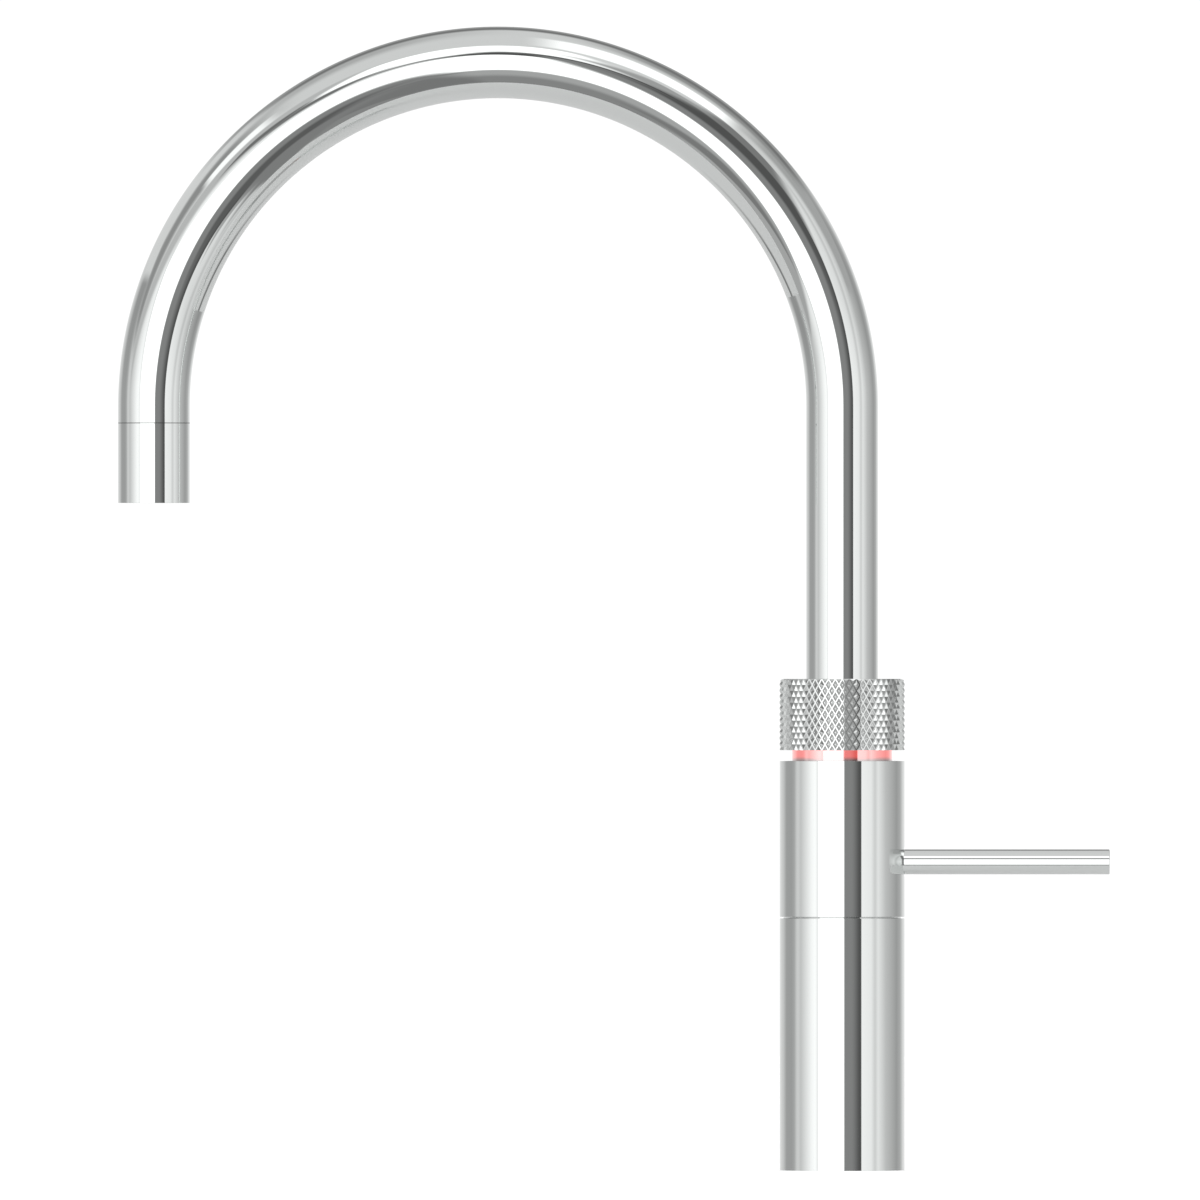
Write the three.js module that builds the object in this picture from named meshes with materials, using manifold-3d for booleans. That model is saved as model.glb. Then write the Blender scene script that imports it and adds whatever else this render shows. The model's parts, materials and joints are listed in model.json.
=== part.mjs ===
// Boiling water tap: one round column with a swivelling arched spout, a mixer sleeve with a side
// lever, and a knurled push-and-turn knob for the boiling water.
// Millimetres, +Z up. The origin is the centre of the base, on the worktop (z = 0).
// The spout points towards -X and the lever towards +X. The worktop clamp hangs below z = 0.

import * as THREE from 'three';
import { mergeVertices } from 'three/addons/utils/BufferGeometryUtils.js';
import Module from 'manifold-3d';

const wasm = await Module();
wasm.setup();

// ---------------------------------------------------------------- driving dimensions

// Column, as seen from outside
const columnRadius = 20;
const sleeveWall = 1.2;
const baseSleeveHeight = 80.55;
const seamGap = 0.5;
const mixerSleeveHeight = 49.8;
const lightBandHeight = 3.45;
const lightRingInset = 4;
const lightRingWall = 1;
const lightRingCover = 1.2;

// Knurled knob
const knobHeight = 22.8;
const knobChamfer = 0.8;
const knobWebThickness = 2.8;
const knobFlangeHeight = 3.5;
const knurlCount = 54;
const knurlHalfRows = 12;
const knurlDepth = 0.6;
const pushLeftOver = 0.45;

// Spout
const spoutRadius = 11.5;
const spoutWall = 1;
const spoutReach = 220;
const archCentreHeight = 244.17;
const archStep = 7.5;
const outletStub = 5.22;
const nozzleLength = 25.55;
const nozzleWall = 1.2;
const spigotHeight = 5;
const spigotWall = 1.3;
const aeratorHeight = 7.5;
const aeratorRecess = 1.5;
const aeratorHoleRadius = 0.9;
const aeratorHoleCount = 10;

// Lever
const leverRadius = 4;
const leverReach = 85.5;
const leverChamfer = 0.3;
const leverAboveSeam = 17.55;
const leverPivotInset = 2.5;
const leverBallRadius = 4.6;
const leverStemRadius = 2;
const leverStemLength = 8;
const leverHoleClearance = 1;
const leverSeatLength = 3.5;
const leverSeatLip = 0.8;
const leverSeatWall = 1.4;
const spindleRadius = 1.2;
const spindleLength = 11.8;

// Core body and its neck
const coreFlangeHeight = 8;
const coreBodyRadius = 15.5;
const cupHeight = 14.3;
const cupWall = 3.2;
const cupDepth = 4.3;
const neckRadius = 7;
const neckWall = 2;
const neckAboveClip = 1.1;
const waterHoleRadius = 1.4;

// Clamp below the worktop
const deckThickness = 30;
const shankInset = 6;
const shankWall = 2.5;
const shankLength = 60;
const shankSocketDepth = 10;
const clampRadius = 22;
const gasketHeight = 3;
const washerHeight = 2.5;
const nutAcrossFlats = 36;
const nutHeight = 9.5;
const deckSealWidth = 1.6;
const deckSealHeight = 1.2;

// Inlets and inner tubes
const inletGap = 1.25;
const inletWall = 1;
const inletDrop = 14;
const inletSocketDepth = 5;
const hotTubeRadius = 3;
const hotTubeWall = 0.8;
const riserWall = 1;
const riserSeatHeight = 28;
const riserSocketDepth = 5;
const riserCupDepth = 6;

// Ceramic discs, valve and bearings
const mixDiscHeight = 3;
const portLand = 1.65;
const cartridgeNutHeight = 5.7;
const cartridgeNutWall = 5.7;
const crownFlangeHeight = 6;
const boardHeight = 1.2;
const boardPocketDepth = 2;
const boilDiscHeight = 2.3;
const valveCollarHeight = 5;
const drivePinRadius = 1.2;
const boilTurn = 90;
const driveFlangeHeight = 1;
const springRoom = 1.2;
const springWire = 0.8;
const springTurns = 3;
const magnetRadius = 1;
const magnetLength = 2;
const footHeight = 9.8;
const clipHeight = 1;
const ringGrooveHeight = 1.4;
const ringGrooveDepth = 0.9;

// Clearances
const slip = 0.3;
const looseSlip = 0.4;
const runningGap = 0.1;
const ringRelief = 0.2;

// Facets round a circle
const outerSides = 48;
const roundSides = 24;
const innerSides = 20;
const smallSides = 12;

// ---------------------------------------------------------------- places that follow from them

const sleeveBore = columnRadius - sleeveWall;
const mixerBottom = baseSleeveHeight + seamGap;
const mixerTop = mixerBottom + mixerSleeveHeight;
const knobBottom = mixerTop + lightBandHeight;
const knobTop = knobBottom + knobHeight;
const pushTravel = lightBandHeight - pushLeftOver;

const coreRadius = sleeveBore - slip;
const cupRadius = coreRadius - cupWall;
const cupFloor = baseSleeveHeight - cupDepth;
const cupBottom = baseSleeveHeight - cupHeight;
const neckBore = neckRadius - neckWall;
const neckFit = neckRadius + slip;

const shankRadius = columnRadius - shankInset;
const shankBore = shankRadius - shankWall;
const inletRadius = (2 * shankBore - 4 * inletGap) / 6;
const inletBore = inletRadius - inletWall;
const inletOffset = 2 * inletRadius + inletGap;
const inletTop = shankSocketDepth + inletSocketDepth;

const mixDiscRadius = cupRadius - slip;
const mixPortOffset = (mixDiscRadius + neckFit) / 2;
const mixPortRadius = (mixDiscRadius - neckFit) / 2 - portLand;
const turningDiscBottom = cupFloor + mixDiscHeight + runningGap;
const rotorBottom = turningDiscBottom + mixDiscHeight;

const leverHeight = mixerBottom + leverAboveSeam;
const leverPivot = columnRadius - leverPivotInset;
const seatBore = leverBallRadius + slip;
const seatRadius = seatBore + leverSeatWall;
const seatBack = -leverBallRadius + 0.6;
const pocketRadius = leverBallRadius + 2 * slip;
const spindleOffset = neckFit + 2.5 * slip + slip + spindleRadius;
const spindleTop = leverHeight - leverStemRadius - slip;

const crownTop = mixerTop - slip;
const crownBottom = crownTop - crownFlangeHeight;
const cartridgeNutBottom = crownBottom - cartridgeNutHeight;
const rotorTop = cartridgeNutBottom - slip;

const lightRingRadius = columnRadius - lightRingInset;
const lightRingBore = lightRingRadius - lightRingWall;
const lightRingTop = knobBottom + lightRingCover;
const boardFloor = crownTop - boardPocketDepth;
const shoulderRadius = lightRingBore - looseSlip;

const skirtBore = lightRingRadius + looseSlip;
const driveRadius = skirtBore - springRoom;
const hubBore = spoutRadius + slip;
const hubWall = (driveRadius - hubBore - slip) / 2;
const hubRadius = hubBore + hubWall;
const driveBore = hubRadius + slip;
const driveBottom = lightRingTop + slip;
const driveFlangeTop = driveBottom + driveFlangeHeight;
const knobWebBottom = knobTop - knobWebThickness;
const driveTop = knobWebBottom - pushTravel - slip;
const knobClipTop = driveTop - 0.6;
const knobClipBottom = knobClipTop - clipHeight;
const knobFlangeTop = knobClipBottom - slip;
const knobFlangeBottom = knobFlangeTop - knobFlangeHeight;
const hubTop = driveTop - 1.5;

const boilSeat = crownTop + 0.8;
const boilDiscRadius = hubBore - looseSlip;
const boilTurningBottom = boilSeat + boilDiscHeight + runningGap;
const collarBottom = boilTurningBottom + boilDiscHeight + runningGap;
const collarTop = collarBottom + valveCollarHeight;
const drivePinHeight = driveFlangeTop + slip + drivePinRadius;

const footBottom = collarTop + slip;
const footTop = footBottom + footHeight;
const spoutClipBottom = footTop + slip;
const neckTop = spoutClipBottom + clipHeight + neckAboveClip;
const ringGrooves = [footBottom + 2, footTop - 2 - ringGrooveHeight];
const riserTop = neckTop + 2;
const hotTubeBottom = riserTop - riserCupDepth + slip;

const archRadius = spoutReach / 2;
const spoutBore = spoutRadius - spoutWall;
const nozzleTop = archCentreHeight - outletStub - runningGap;
const nozzleBottom = nozzleTop - nozzleLength;
const nozzleBore = spoutRadius - nozzleWall;
const spigotRadius = spoutBore - slip;
const spigotBore = spigotRadius - spigotWall;
const aeratorBottom = nozzleBottom + aeratorRecess;
const aeratorTop = aeratorBottom + aeratorHeight;

// ---------------------------------------------------------------- solids

// Merges shared corners, drops flat triangles and turns the faces outwards.
function closed(geometry) {
  const bare = geometry.index ? geometry.toNonIndexed() : geometry;
  bare.deleteAttribute('normal');
  bare.deleteAttribute('uv');
  const merged = mergeVertices(bare, 1e-4);
  const corners = [];
  const index = merged.index.array;
  for (let i = 0; i < index.length; i += 3) {
    const [a, b, c] = [index[i], index[i + 1], index[i + 2]];
    if (a !== b && b !== c && c !== a) corners.push(a, b, c);
  }
  if (signedVolume(merged, corners) < 0) corners.reverse();
  merged.setIndex(corners);
  return merged;
}

function signedVolume(geometry, corners) {
  const place = geometry.attributes.position;
  const [a, b, c] = [new THREE.Vector3(), new THREE.Vector3(), new THREE.Vector3()];
  let volume = 0;
  for (let i = 0; i < corners.length; i += 3) {
    a.fromBufferAttribute(place, corners[i]);
    b.fromBufferAttribute(place, corners[i + 1]);
    c.fromBufferAttribute(place, corners[i + 2]);
    volume += a.dot(b.cross(c)) / 6;
  }
  return volume;
}

function toManifold(geometry) {
  const solid = closed(geometry);
  const vertProperties = new Float32Array(solid.attributes.position.array);
  const triVerts = new Uint32Array(solid.index.array);
  return new wasm.Manifold(new wasm.Mesh({ numProp: 3, vertProperties, triVerts }));
}

function fromManifold(solid) {
  const mesh = solid.getMesh();
  const geometry = new THREE.BufferGeometry();
  geometry.setAttribute('position', new THREE.BufferAttribute(mesh.vertProperties, 3));
  geometry.setIndex(new THREE.BufferAttribute(mesh.triVerts, 1));
  return geometry;
}

function cut(geometry, tools) {
  let solid = toManifold(geometry);
  for (const tool of tools) solid = solid.subtract(toManifold(tool));
  return fromManifold(solid);
}

// A turned piece: a profile of [radius, height] points, closed on itself, about the Z axis.
function turned(profile, sides = innerSides) {
  const points = profile.map(([radius, height]) => new THREE.Vector2(radius, height));
  points.push(points[0].clone());
  return closed(new THREE.LatheGeometry(points, sides).rotateX(Math.PI / 2));
}

function ring(bore, radius, bottom, top, sides = innerSides) {
  return turned([[bore, bottom], [radius, bottom], [radius, top], [bore, top]], sides);
}

// A rubber ring of round section.
function oRing(bore, radius, height) {
  const section = (radius - bore) / 2;
  const profile = [];
  for (let i = 0; i < 6; i += 1) {
    const angle = (i + 0.5) * Math.PI / 3;
    profile.push([bore + section + section * Math.cos(angle), height + section * Math.sin(angle)]);
  }
  return turned(profile, innerSides);
}

// A straight round bar between two points.
function bar(radius, from, to, sides = smallSides) {
  const start = new THREE.Vector3(...from);
  const run = new THREE.Vector3(...to).sub(start);
  const geometry = new THREE.CylinderGeometry(radius, radius, run.length(), sides);
  geometry.translate(0, run.length() / 2, 0);
  geometry.applyQuaternion(new THREE.Quaternion().setFromUnitVectors(
    new THREE.Vector3(0, 1, 0), run.clone().normalize()));
  return geometry.translate(start.x, start.y, start.z);
}

// Part of a ring, between two angles in degrees.
function ringSector(bore, radius, startDegrees, endDegrees, bottom, top) {
  const start = THREE.MathUtils.degToRad(startDegrees);
  const end = THREE.MathUtils.degToRad(endDegrees);
  const outline = new THREE.Shape();
  outline.absarc(0, 0, radius, start, end, false);
  outline.absarc(0, 0, bore, end, start, true);
  outline.closePath();
  const depth = top - bottom;
  const options = { depth, bevelEnabled: false, curveSegments: smallSides / 3 };
  return new THREE.ExtrudeGeometry(outline, options).translate(0, 0, bottom);
}

// ---------------------------------------------------------------- tubes along the spout

// The spout's centre line as a list of stations: straight runs take one step and the arch many.
class StationedPath extends THREE.Curve {
  constructor(stations) {
    super();
    this.stations = stations;
  }

  stationAt(u) {
    return this.stations[Math.round(u * (this.stations.length - 1))];
  }

  getPointAt(u, target = new THREE.Vector3()) {
    return target.copy(this.stationAt(u).point);
  }

  getTangentAt(u, target = new THREE.Vector3()) {
    return target.copy(this.stationAt(u).tangent);
  }
}

// Up from startHeight, over the arch and down to endHeight, with the arch cut every stepDegrees.
function spoutStations(startHeight, endHeight, stepDegrees) {
  const up = new THREE.Vector3(0, 0, 1);
  const stations = [{ point: new THREE.Vector3(0, 0, startHeight), tangent: up }];
  const steps = Math.round(180 / stepDegrees);
  for (let i = 0; i <= steps; i += 1) {
    const angle = i * Math.PI / steps;
    const x = archRadius * (Math.cos(angle) - 1);
    const z = archCentreHeight + archRadius * Math.sin(angle);
    const tangent = new THREE.Vector3(-Math.sin(angle), 0, Math.cos(angle));
    stations.push({ point: new THREE.Vector3(x, 0, z), tangent });
  }
  const end = new THREE.Vector3(-spoutReach, 0, endHeight);
  stations.push({ point: end, tangent: up.clone().negate() });
  return stations;
}

function spoutPipe(radius, bore, stations, sides) {
  const section = new THREE.Shape();
  section.absarc(0, 0, radius, 0, 2 * Math.PI, false);
  const hole = new THREE.Path();
  hole.absarc(0, 0, bore, 0, 2 * Math.PI, true);
  section.holes.push(hole);
  const extrudePath = new StationedPath(stations);
  const options = { steps: stations.length - 1, extrudePath, curveSegments: sides / 2 };
  return closed(new THREE.ExtrudeGeometry(section, options));
}

// ---------------------------------------------------------------- fixed column

function baseSleeve() {
  return ring(sleeveBore, columnRadius, 0, baseSleeveHeight, outerSides);
}

// Turned brass body: flange on the worktop, cup for the mixing discs, and a long neck.
function coreBody() {
  const sealBore = shankRadius + slip + 1.3;
  const sealRadius = sealBore + deckSealWidth + 2 * ringRelief;
  const sealRoof = deckSealHeight;
  const ringMiddle = (cupBottom + cupFloor) / 2;
  const ringFloor = coreRadius - 1.9;
  const groove = (bottom, depth, height) => [
    [neckRadius, bottom], [neckRadius - depth, bottom],
    [neckRadius - depth, bottom + height], [neckRadius, bottom + height]];
  const body = turned([
    [shankRadius + slip, 0], [sealBore, 0], [sealBore, sealRoof], [sealRadius, sealRoof],
    [sealRadius, 0], [coreRadius, 0], [coreRadius, coreFlangeHeight],
    [coreBodyRadius, coreFlangeHeight], [coreBodyRadius, cupBottom], [coreRadius, cupBottom],
    [coreRadius, ringMiddle - 1.1], [ringFloor, ringMiddle - 1.1],
    [ringFloor, ringMiddle + 1.1], [coreRadius, ringMiddle + 1.1],
    [coreRadius, baseSleeveHeight], [cupRadius, baseSleeveHeight],
    [cupRadius, cupFloor], [neckRadius, cupFloor],
    ...groove(ringGrooves[0], ringGrooveDepth, ringGrooveHeight),
    ...groove(ringGrooves[1], ringGrooveDepth, ringGrooveHeight),
    ...groove(spoutClipBottom - runningGap, ringGrooveDepth, clipHeight + 2 * runningGap),
    [neckRadius, neckTop], [neckBore, neckTop], [neckBore, riserSeatHeight + riserSocketDepth],
    [hotTubeRadius + slip, riserSeatHeight + riserSocketDepth],
    [hotTubeRadius + slip, riserSeatHeight], [inletBore, riserSeatHeight],
    [inletBore, inletTop], [inletRadius + slip, inletTop],
    [inletRadius + slip, shankSocketDepth], [shankRadius + slip, shankSocketDepth],
  ]);
  const drillings = [-1, 1].flatMap((side) => [
    bar(inletRadius + slip, [side * inletOffset, 0, shankSocketDepth - 1],
      [side * inletOffset, 0, inletTop]),
    bar(mixPortRadius, [side * inletOffset, 0, inletTop - 1],
      [side * mixPortOffset, 0, cupFloor + 1]),
  ]);
  const waterHoles = bar(waterHoleRadius, [0, -neckRadius - 1, rotorBottom + 4],
    [0, neckRadius + 1, rotorBottom + 4]);
  return cut(body, [...drillings, waterHoles]);
}

function deckSeal() {
  const bore = shankRadius + slip + 1.3 + ringRelief;
  return ring(bore, bore + deckSealWidth, 0, deckSealHeight);
}

function sleeveRing() {
  const middle = (cupBottom + cupFloor) / 2;
  return oRing(coreRadius - 1.9 + ringRelief, sleeveBore - ringRelief, middle);
}

function glideWasher() {
  const top = mixerBottom - runningGap;
  return ring(cupRadius + 2 * slip, sleeveBore, baseSleeveHeight, top);
}

// ---------------------------------------------------------------- clamp and inlets

function threadedShank() {
  return ring(shankBore, shankRadius, -shankLength, shankSocketDepth);
}

function clampRing(top, height) {
  return ring(shankRadius + slip, clampRadius, top - height, top);
}

function fixingNut() {
  const top = -deckThickness - gasketHeight - washerHeight;
  const outline = new THREE.Shape();
  const corner = nutAcrossFlats / 2 / Math.cos(Math.PI / 6);
  for (let i = 0; i < 6; i += 1) {
    const angle = i * Math.PI / 3;
    outline.lineTo(corner * Math.cos(angle), corner * Math.sin(angle));
  }
  outline.curves.shift();
  outline.closePath();
  const hole = new THREE.Path();
  hole.absarc(0, 0, shankRadius + slip, 0, 2 * Math.PI, true);
  outline.holes.push(hole);
  const options = { depth: nutHeight, bevelEnabled: false, curveSegments: smallSides };
  return closed(new THREE.ExtrudeGeometry(outline, options).translate(0, 0, top - nutHeight));
}

// A nipple that the supply hose screws onto, with a thicker end.
function inletNipple() {
  const collar = inletRadius + inletGap / 3;
  const collarTop = -inletDrop + 4;
  return turned([
    [inletBore, -inletDrop], [collar, -inletDrop], [collar, collarTop],
    [inletRadius, collarTop], [inletRadius, inletTop], [inletBore, inletTop],
  ], smallSides);
}

function riserTube() {
  const bore = hotTubeRadius - riserWall;
  const cupBase = riserTop - riserCupDepth;
  const cupOutside = neckBore - 0.5;
  return turned([
    [bore, riserSeatHeight], [hotTubeRadius, riserSeatHeight],
    [hotTubeRadius, cupBase - 1], [cupOutside, cupBase - 1], [cupOutside, riserTop],
    [hotTubeRadius + slip, riserTop], [hotTubeRadius + slip, cupBase], [bore, cupBase],
  ], smallSides);
}

// ---------------------------------------------------------------- mixer

function mixDiscFixed() {
  const disc = ring(neckFit, mixDiscRadius, cupFloor, cupFloor + mixDiscHeight);
  const ports = [-1, 1].map((side) => bar(mixPortRadius,
    [side * mixPortOffset, 0, cupFloor - 1],
    [side * mixPortOffset, 0, cupFloor + mixDiscHeight + 1]));
  return cut(disc, ports);
}

// Its kidney window lies between the two ports, so that turning it shares the flow.
function mixDiscTurning() {
  const disc = ring(neckFit, mixDiscRadius, turningDiscBottom, rotorBottom);
  const window = ringSector(mixPortOffset - mixPortRadius, mixPortOffset + mixPortRadius,
    15, 165, turningDiscBottom - 1, rotorBottom + 1);
  return cut(disc, [window]);
}

function mixerSleeve() {
  const sleeve = ring(sleeveBore, columnRadius, mixerBottom, mixerTop, outerSides);
  const holeRadius = leverRadius + leverHoleClearance;
  const hole = bar(holeRadius, [sleeveBore - 4, 0, leverHeight],
    [columnRadius + 4, 0, leverHeight], roundSides);
  return cut(sleeve, [hole]);
}

// Carrier inside the mixer sleeve, with a stepped pocket for the lever's ball and stem.
function mixerRotor() {
  const rotor = turned([
    [neckFit, rotorBottom], [mixDiscRadius + slip, rotorBottom],
    [mixDiscRadius + slip, mixerBottom], [coreRadius, mixerBottom],
    [coreRadius, rotorTop], [neckFit, rotorTop],
  ]);
  const pocketBack = neckFit + slip * 2.5;
  const stepBack = leverPivot + seatBack - slip;
  const pocket = bar(pocketRadius, [pocketBack, 0, leverHeight],
    [columnRadius, 0, leverHeight], innerSides);
  const step = bar(seatRadius + slip, [stepBack, 0, leverHeight],
    [columnRadius, 0, leverHeight], innerSides);
  const spindleBore = bar(spindleRadius + slip, [spindleOffset, 0, rotorBottom - 1],
    [spindleOffset, 0, leverHeight]);
  return cut(rotor, [pocket, step, spindleBore]);
}

// A plastic cup behind the lever's ball, turned about the lever's axis.
function leverSeat() {
  const lipBore = leverBallRadius - 1;
  const front = seatBack + leverSeatLength;
  const step = seatBack + leverSeatLip;
  return turned([
    [lipBore, seatBack], [seatRadius, seatBack], [seatRadius, front],
    [seatBore, front], [seatBore, step], [lipBore, step],
  ]).rotateY(Math.PI / 2);
}

function cartridgeNut() {
  return ring(neckFit, neckFit + cartridgeNutWall, cartridgeNutBottom, crownBottom, smallSides);
}

// Round rod with a ball at the pivot and a thin stem behind it, along +X from the pivot.
function leverRod() {
  const reach = leverReach - leverPivot;
  const profile = [[0, -leverStemLength], [leverStemRadius, -leverStemLength]];
  const from = Math.PI - Math.asin(leverStemRadius / leverBallRadius);
  const to = Math.asin(leverRadius / leverBallRadius);
  const steps = 7;
  for (let i = 0; i <= steps; i += 1) {
    const angle = from + (to - from) * i / steps;
    profile.push([leverBallRadius * Math.sin(angle), leverBallRadius * Math.cos(angle)]);
  }
  profile.push([leverRadius, reach - leverChamfer], [leverRadius - leverChamfer, reach], [0, reach]);
  return turned(profile, roundSides).rotateY(Math.PI / 2);
}

function flowSpindle() {
  return bar(spindleRadius, [spindleOffset, 0, spindleTop - spindleLength],
    [spindleOffset, 0, spindleTop]);
}

// ---------------------------------------------------------------- crown, light and boiling valve

// Fixed hub on the neck: pocket for the light, seat for the valve discs, bearing for the spout.
function crown() {
  const pocketBore = shoulderRadius;
  const pocketRadius = lightRingRadius + 2 * slip;
  const hub = turned([
    [neckFit, crownBottom], [coreRadius, crownBottom], [coreRadius, crownTop],
    [pocketRadius, crownTop], [pocketRadius, boardFloor], [pocketBore, boardFloor],
    [pocketBore, lightRingTop], [hubRadius, lightRingTop], [hubRadius, hubTop],
    [hubBore, hubTop], [hubBore, boilSeat], [neckFit, boilSeat],
  ]);
  const pinAngle = THREE.MathUtils.radToDeg(Math.asin((drivePinRadius + slip) / hubBore)) + 1;
  const window = ringSector(hubBore - 1, hubRadius + 1, 90 - pinAngle, 90 + boilTurn + pinAngle,
    drivePinHeight - drivePinRadius - slip, drivePinHeight + drivePinRadius + slip);
  return cut(hub, [window]);
}

function lightBoard() {
  return ring(shoulderRadius + slip, lightRingRadius + slip, boardFloor, boardFloor + boardHeight);
}

function lightRing() {
  return ring(lightRingBore, lightRingRadius, boardFloor + boardHeight, lightRingTop, outerSides);
}

function boilDisc(bottom, portDegrees) {
  const disc = ring(neckFit, boilDiscRadius, bottom, bottom + boilDiscHeight);
  const middle = (neckFit + boilDiscRadius) / 2;
  const half = (boilDiscRadius - neckFit) / 4;
  const ports = [0, 180].map((turn) => ringSector(middle - half, middle + half,
    turn - portDegrees, turn + portDegrees, bottom - 1, bottom + boilDiscHeight + 1));
  return cut(disc, ports);
}

// Collar over the turning disc, pinned to the knob's drive sleeve through the hub's window.
function valveCollar() {
  const collar = ring(neckFit, boilDiscRadius, collarBottom, collarTop);
  return cut(collar, [radialBar(drivePinRadius + slip, neckFit + 1.1, boilDiscRadius + 2)]);
}

function radialBar(radius, from, to) {
  return bar(radius, [0, from, drivePinHeight], [0, to, drivePinHeight]);
}

function drivePin() {
  return radialBar(drivePinRadius, neckFit + 1.4, driveRadius - slip);
}

function driveSleeve() {
  const grooveFloor = driveRadius - 0.7;
  const sleeve = turned([
    [driveBore, driveBottom], [skirtBore - looseSlip, driveBottom],
    [skirtBore - looseSlip, driveFlangeTop], [driveRadius, driveFlangeTop],
    [driveRadius, knobClipBottom - runningGap], [grooveFloor, knobClipBottom - runningGap],
    [grooveFloor, knobClipTop + runningGap], [driveRadius, knobClipTop + runningGap],
    [driveRadius, driveTop], [driveBore, driveTop],
  ]);
  return cut(sleeve, [radialBar(drivePinRadius + slip, driveBore - 2, driveRadius + 2)]);
}

function knobClip() {
  const bore = driveRadius - 0.7 + ringRelief;
  const outside = driveRadius + 1;
  const clip = ring(bore, outside, knobClipBottom, knobClipTop);
  return cut(clip, [ringSector(bore - 1, outside + 1, -12, 12, knobClipBottom - 1, knobClipTop + 1)]);
}

// The knob's blank before its chamfer is turned: rows of pyramids, pointed at every other corner of
// a grid that is wrapped round the cylinder. Each cell is split along the groove that crosses it.
function knurledBlank() {
  const columns = 2 * knurlCount;
  const rowHeight = knobHeight / knurlHalfRows;
  const places = [];
  const addRing = (height, radiusAt) => {
    for (let i = 0; i < columns; i += 1) {
      const angle = i * 2 * Math.PI / columns;
      const radius = radiusAt(i);
      places.push(radius * Math.cos(angle), radius * Math.sin(angle), height);
    }
  };
  for (let row = 0; row <= knurlHalfRows; row += 1) {
    addRing(knobBottom + row * rowHeight,
      (i) => columnRadius - ((i + row) % 2 === 0 ? 0 : knurlDepth));
  }
  places.push(0, 0, knobBottom, 0, 0, knobTop);
  const index = [];
  const lastRow = knurlHalfRows;
  const at = (row, i) => row * columns + i % columns;
  for (let row = 0; row < lastRow; row += 1) {
    for (let i = 0; i < columns; i += 1) {
      const [a, b, c, d] = [at(row, i), at(row, i + 1), at(row + 1, i + 1), at(row + 1, i)];
      if ((i + row) % 2 === 0) index.push(a, b, d, b, c, d);
      else index.push(a, b, c, a, c, d);
    }
  }
  const bottomCentre = (lastRow + 1) * columns;
  for (let i = 0; i < columns; i += 1) {
    index.push(bottomCentre, at(0, i + 1), at(0, i));
    index.push(bottomCentre + 1, at(lastRow, i), at(lastRow, i + 1));
  }
  const geometry = new THREE.BufferGeometry();
  geometry.setAttribute('position', new THREE.Float32BufferAttribute(places, 3));
  geometry.setIndex(index);
  return geometry;
}

function knurledKnob() {
  const flangeBore = driveRadius + slip;
  const clipBore = driveRadius + 1 + looseSlip;
  const webBore = spoutRadius + looseSlip;
  const inside = turned([
    [0, knobBottom - 1], [skirtBore, knobBottom - 1], [skirtBore, knobFlangeBottom],
    [flangeBore, knobFlangeBottom], [flangeBore, knobFlangeTop], [clipBore, knobFlangeTop],
    [clipBore, knobWebBottom], [webBore, knobWebBottom], [webBore, knobTop + 1], [0, knobTop + 1],
  ]);
  const magnetHole = magnetBar(magnetRadius + slip, -1, magnetLength + 2 * slip);
  return cut(knurledBlank(), [chamferCutter(), inside, magnetHole]);
}

// What the lathe takes off the knob's upper edge.
function chamferCutter() {
  const [start, end] = [columnRadius - knobChamfer - 1, columnRadius + 1];
  return turned([
    [start, knobTop + 1], [end, knobTop - knobChamfer - 1], [end, knobTop + 1],
  ], 2 * knurlCount);
}

// A bar set radially in the knob's inner flange, on the -Y side.
function magnetBar(radius, start, end) {
  const height = (knobFlangeBottom + knobFlangeTop) / 2;
  const bore = driveRadius + slip;
  return bar(radius, [0, -bore - start, height], [0, -bore - end, height]);
}

// Compression spring: one wire wound round the drive sleeve, between two closed ends.
function returnSpring() {
  const wire = springWire / 2;
  const middle = (driveRadius + skirtBore) / 2;
  const bottom = driveFlangeTop + wire + runningGap;
  const top = knobFlangeBottom - wire - runningGap;
  const stepsPerTurn = innerSides;
  const steps = springTurns * stepsPerTurn;
  const sides = 5;
  const places = [];
  for (let i = 0; i <= steps; i += 1) {
    const angle = i * 2 * Math.PI / stepsPerTurn;
    const height = bottom + (top - bottom) * i / steps;
    for (let j = 0; j < sides; j += 1) {
      const around = j * 2 * Math.PI / sides;
      const radius = middle + wire * Math.cos(around);
      places.push(radius * Math.cos(angle), radius * Math.sin(angle), height + wire * Math.sin(around));
    }
  }
  const index = [];
  for (let i = 0; i < steps; i += 1) {
    for (let j = 0; j < sides; j += 1) {
      const [a, b] = [i * sides + j, i * sides + (j + 1) % sides];
      index.push(a, a + sides, b, b, a + sides, b + sides);
    }
  }
  const last = steps * sides;
  for (let j = 1; j < sides - 1; j += 1) {
    index.push(0, j, j + 1, last, last + j + 1, last + j);
  }
  const geometry = new THREE.BufferGeometry();
  geometry.setAttribute('position', new THREE.Float32BufferAttribute(places, 3));
  geometry.setIndex(index);
  const gap = (top - bottom) / springTurns - springWire;
  console.log(`return spring: least gap between turns ${gap.toFixed(2)} mm`);
  return closed(geometry);
}

// ---------------------------------------------------------------- spout

function spoutTube() {
  const end = archCentreHeight - outletStub;
  return spoutPipe(spoutRadius, spoutBore, spoutStations(footBottom, end, archStep), roundSides);
}

function innerHotTube() {
  const stations = spoutStations(hotTubeBottom, aeratorBottom, 2 * archStep);
  return spoutPipe(hotTubeRadius, hotTubeRadius - hotTubeWall, stations, 8);
}

function spoutFoot() {
  return ring(neckRadius + looseSlip, spoutBore - slip, footBottom, footTop);
}

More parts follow.
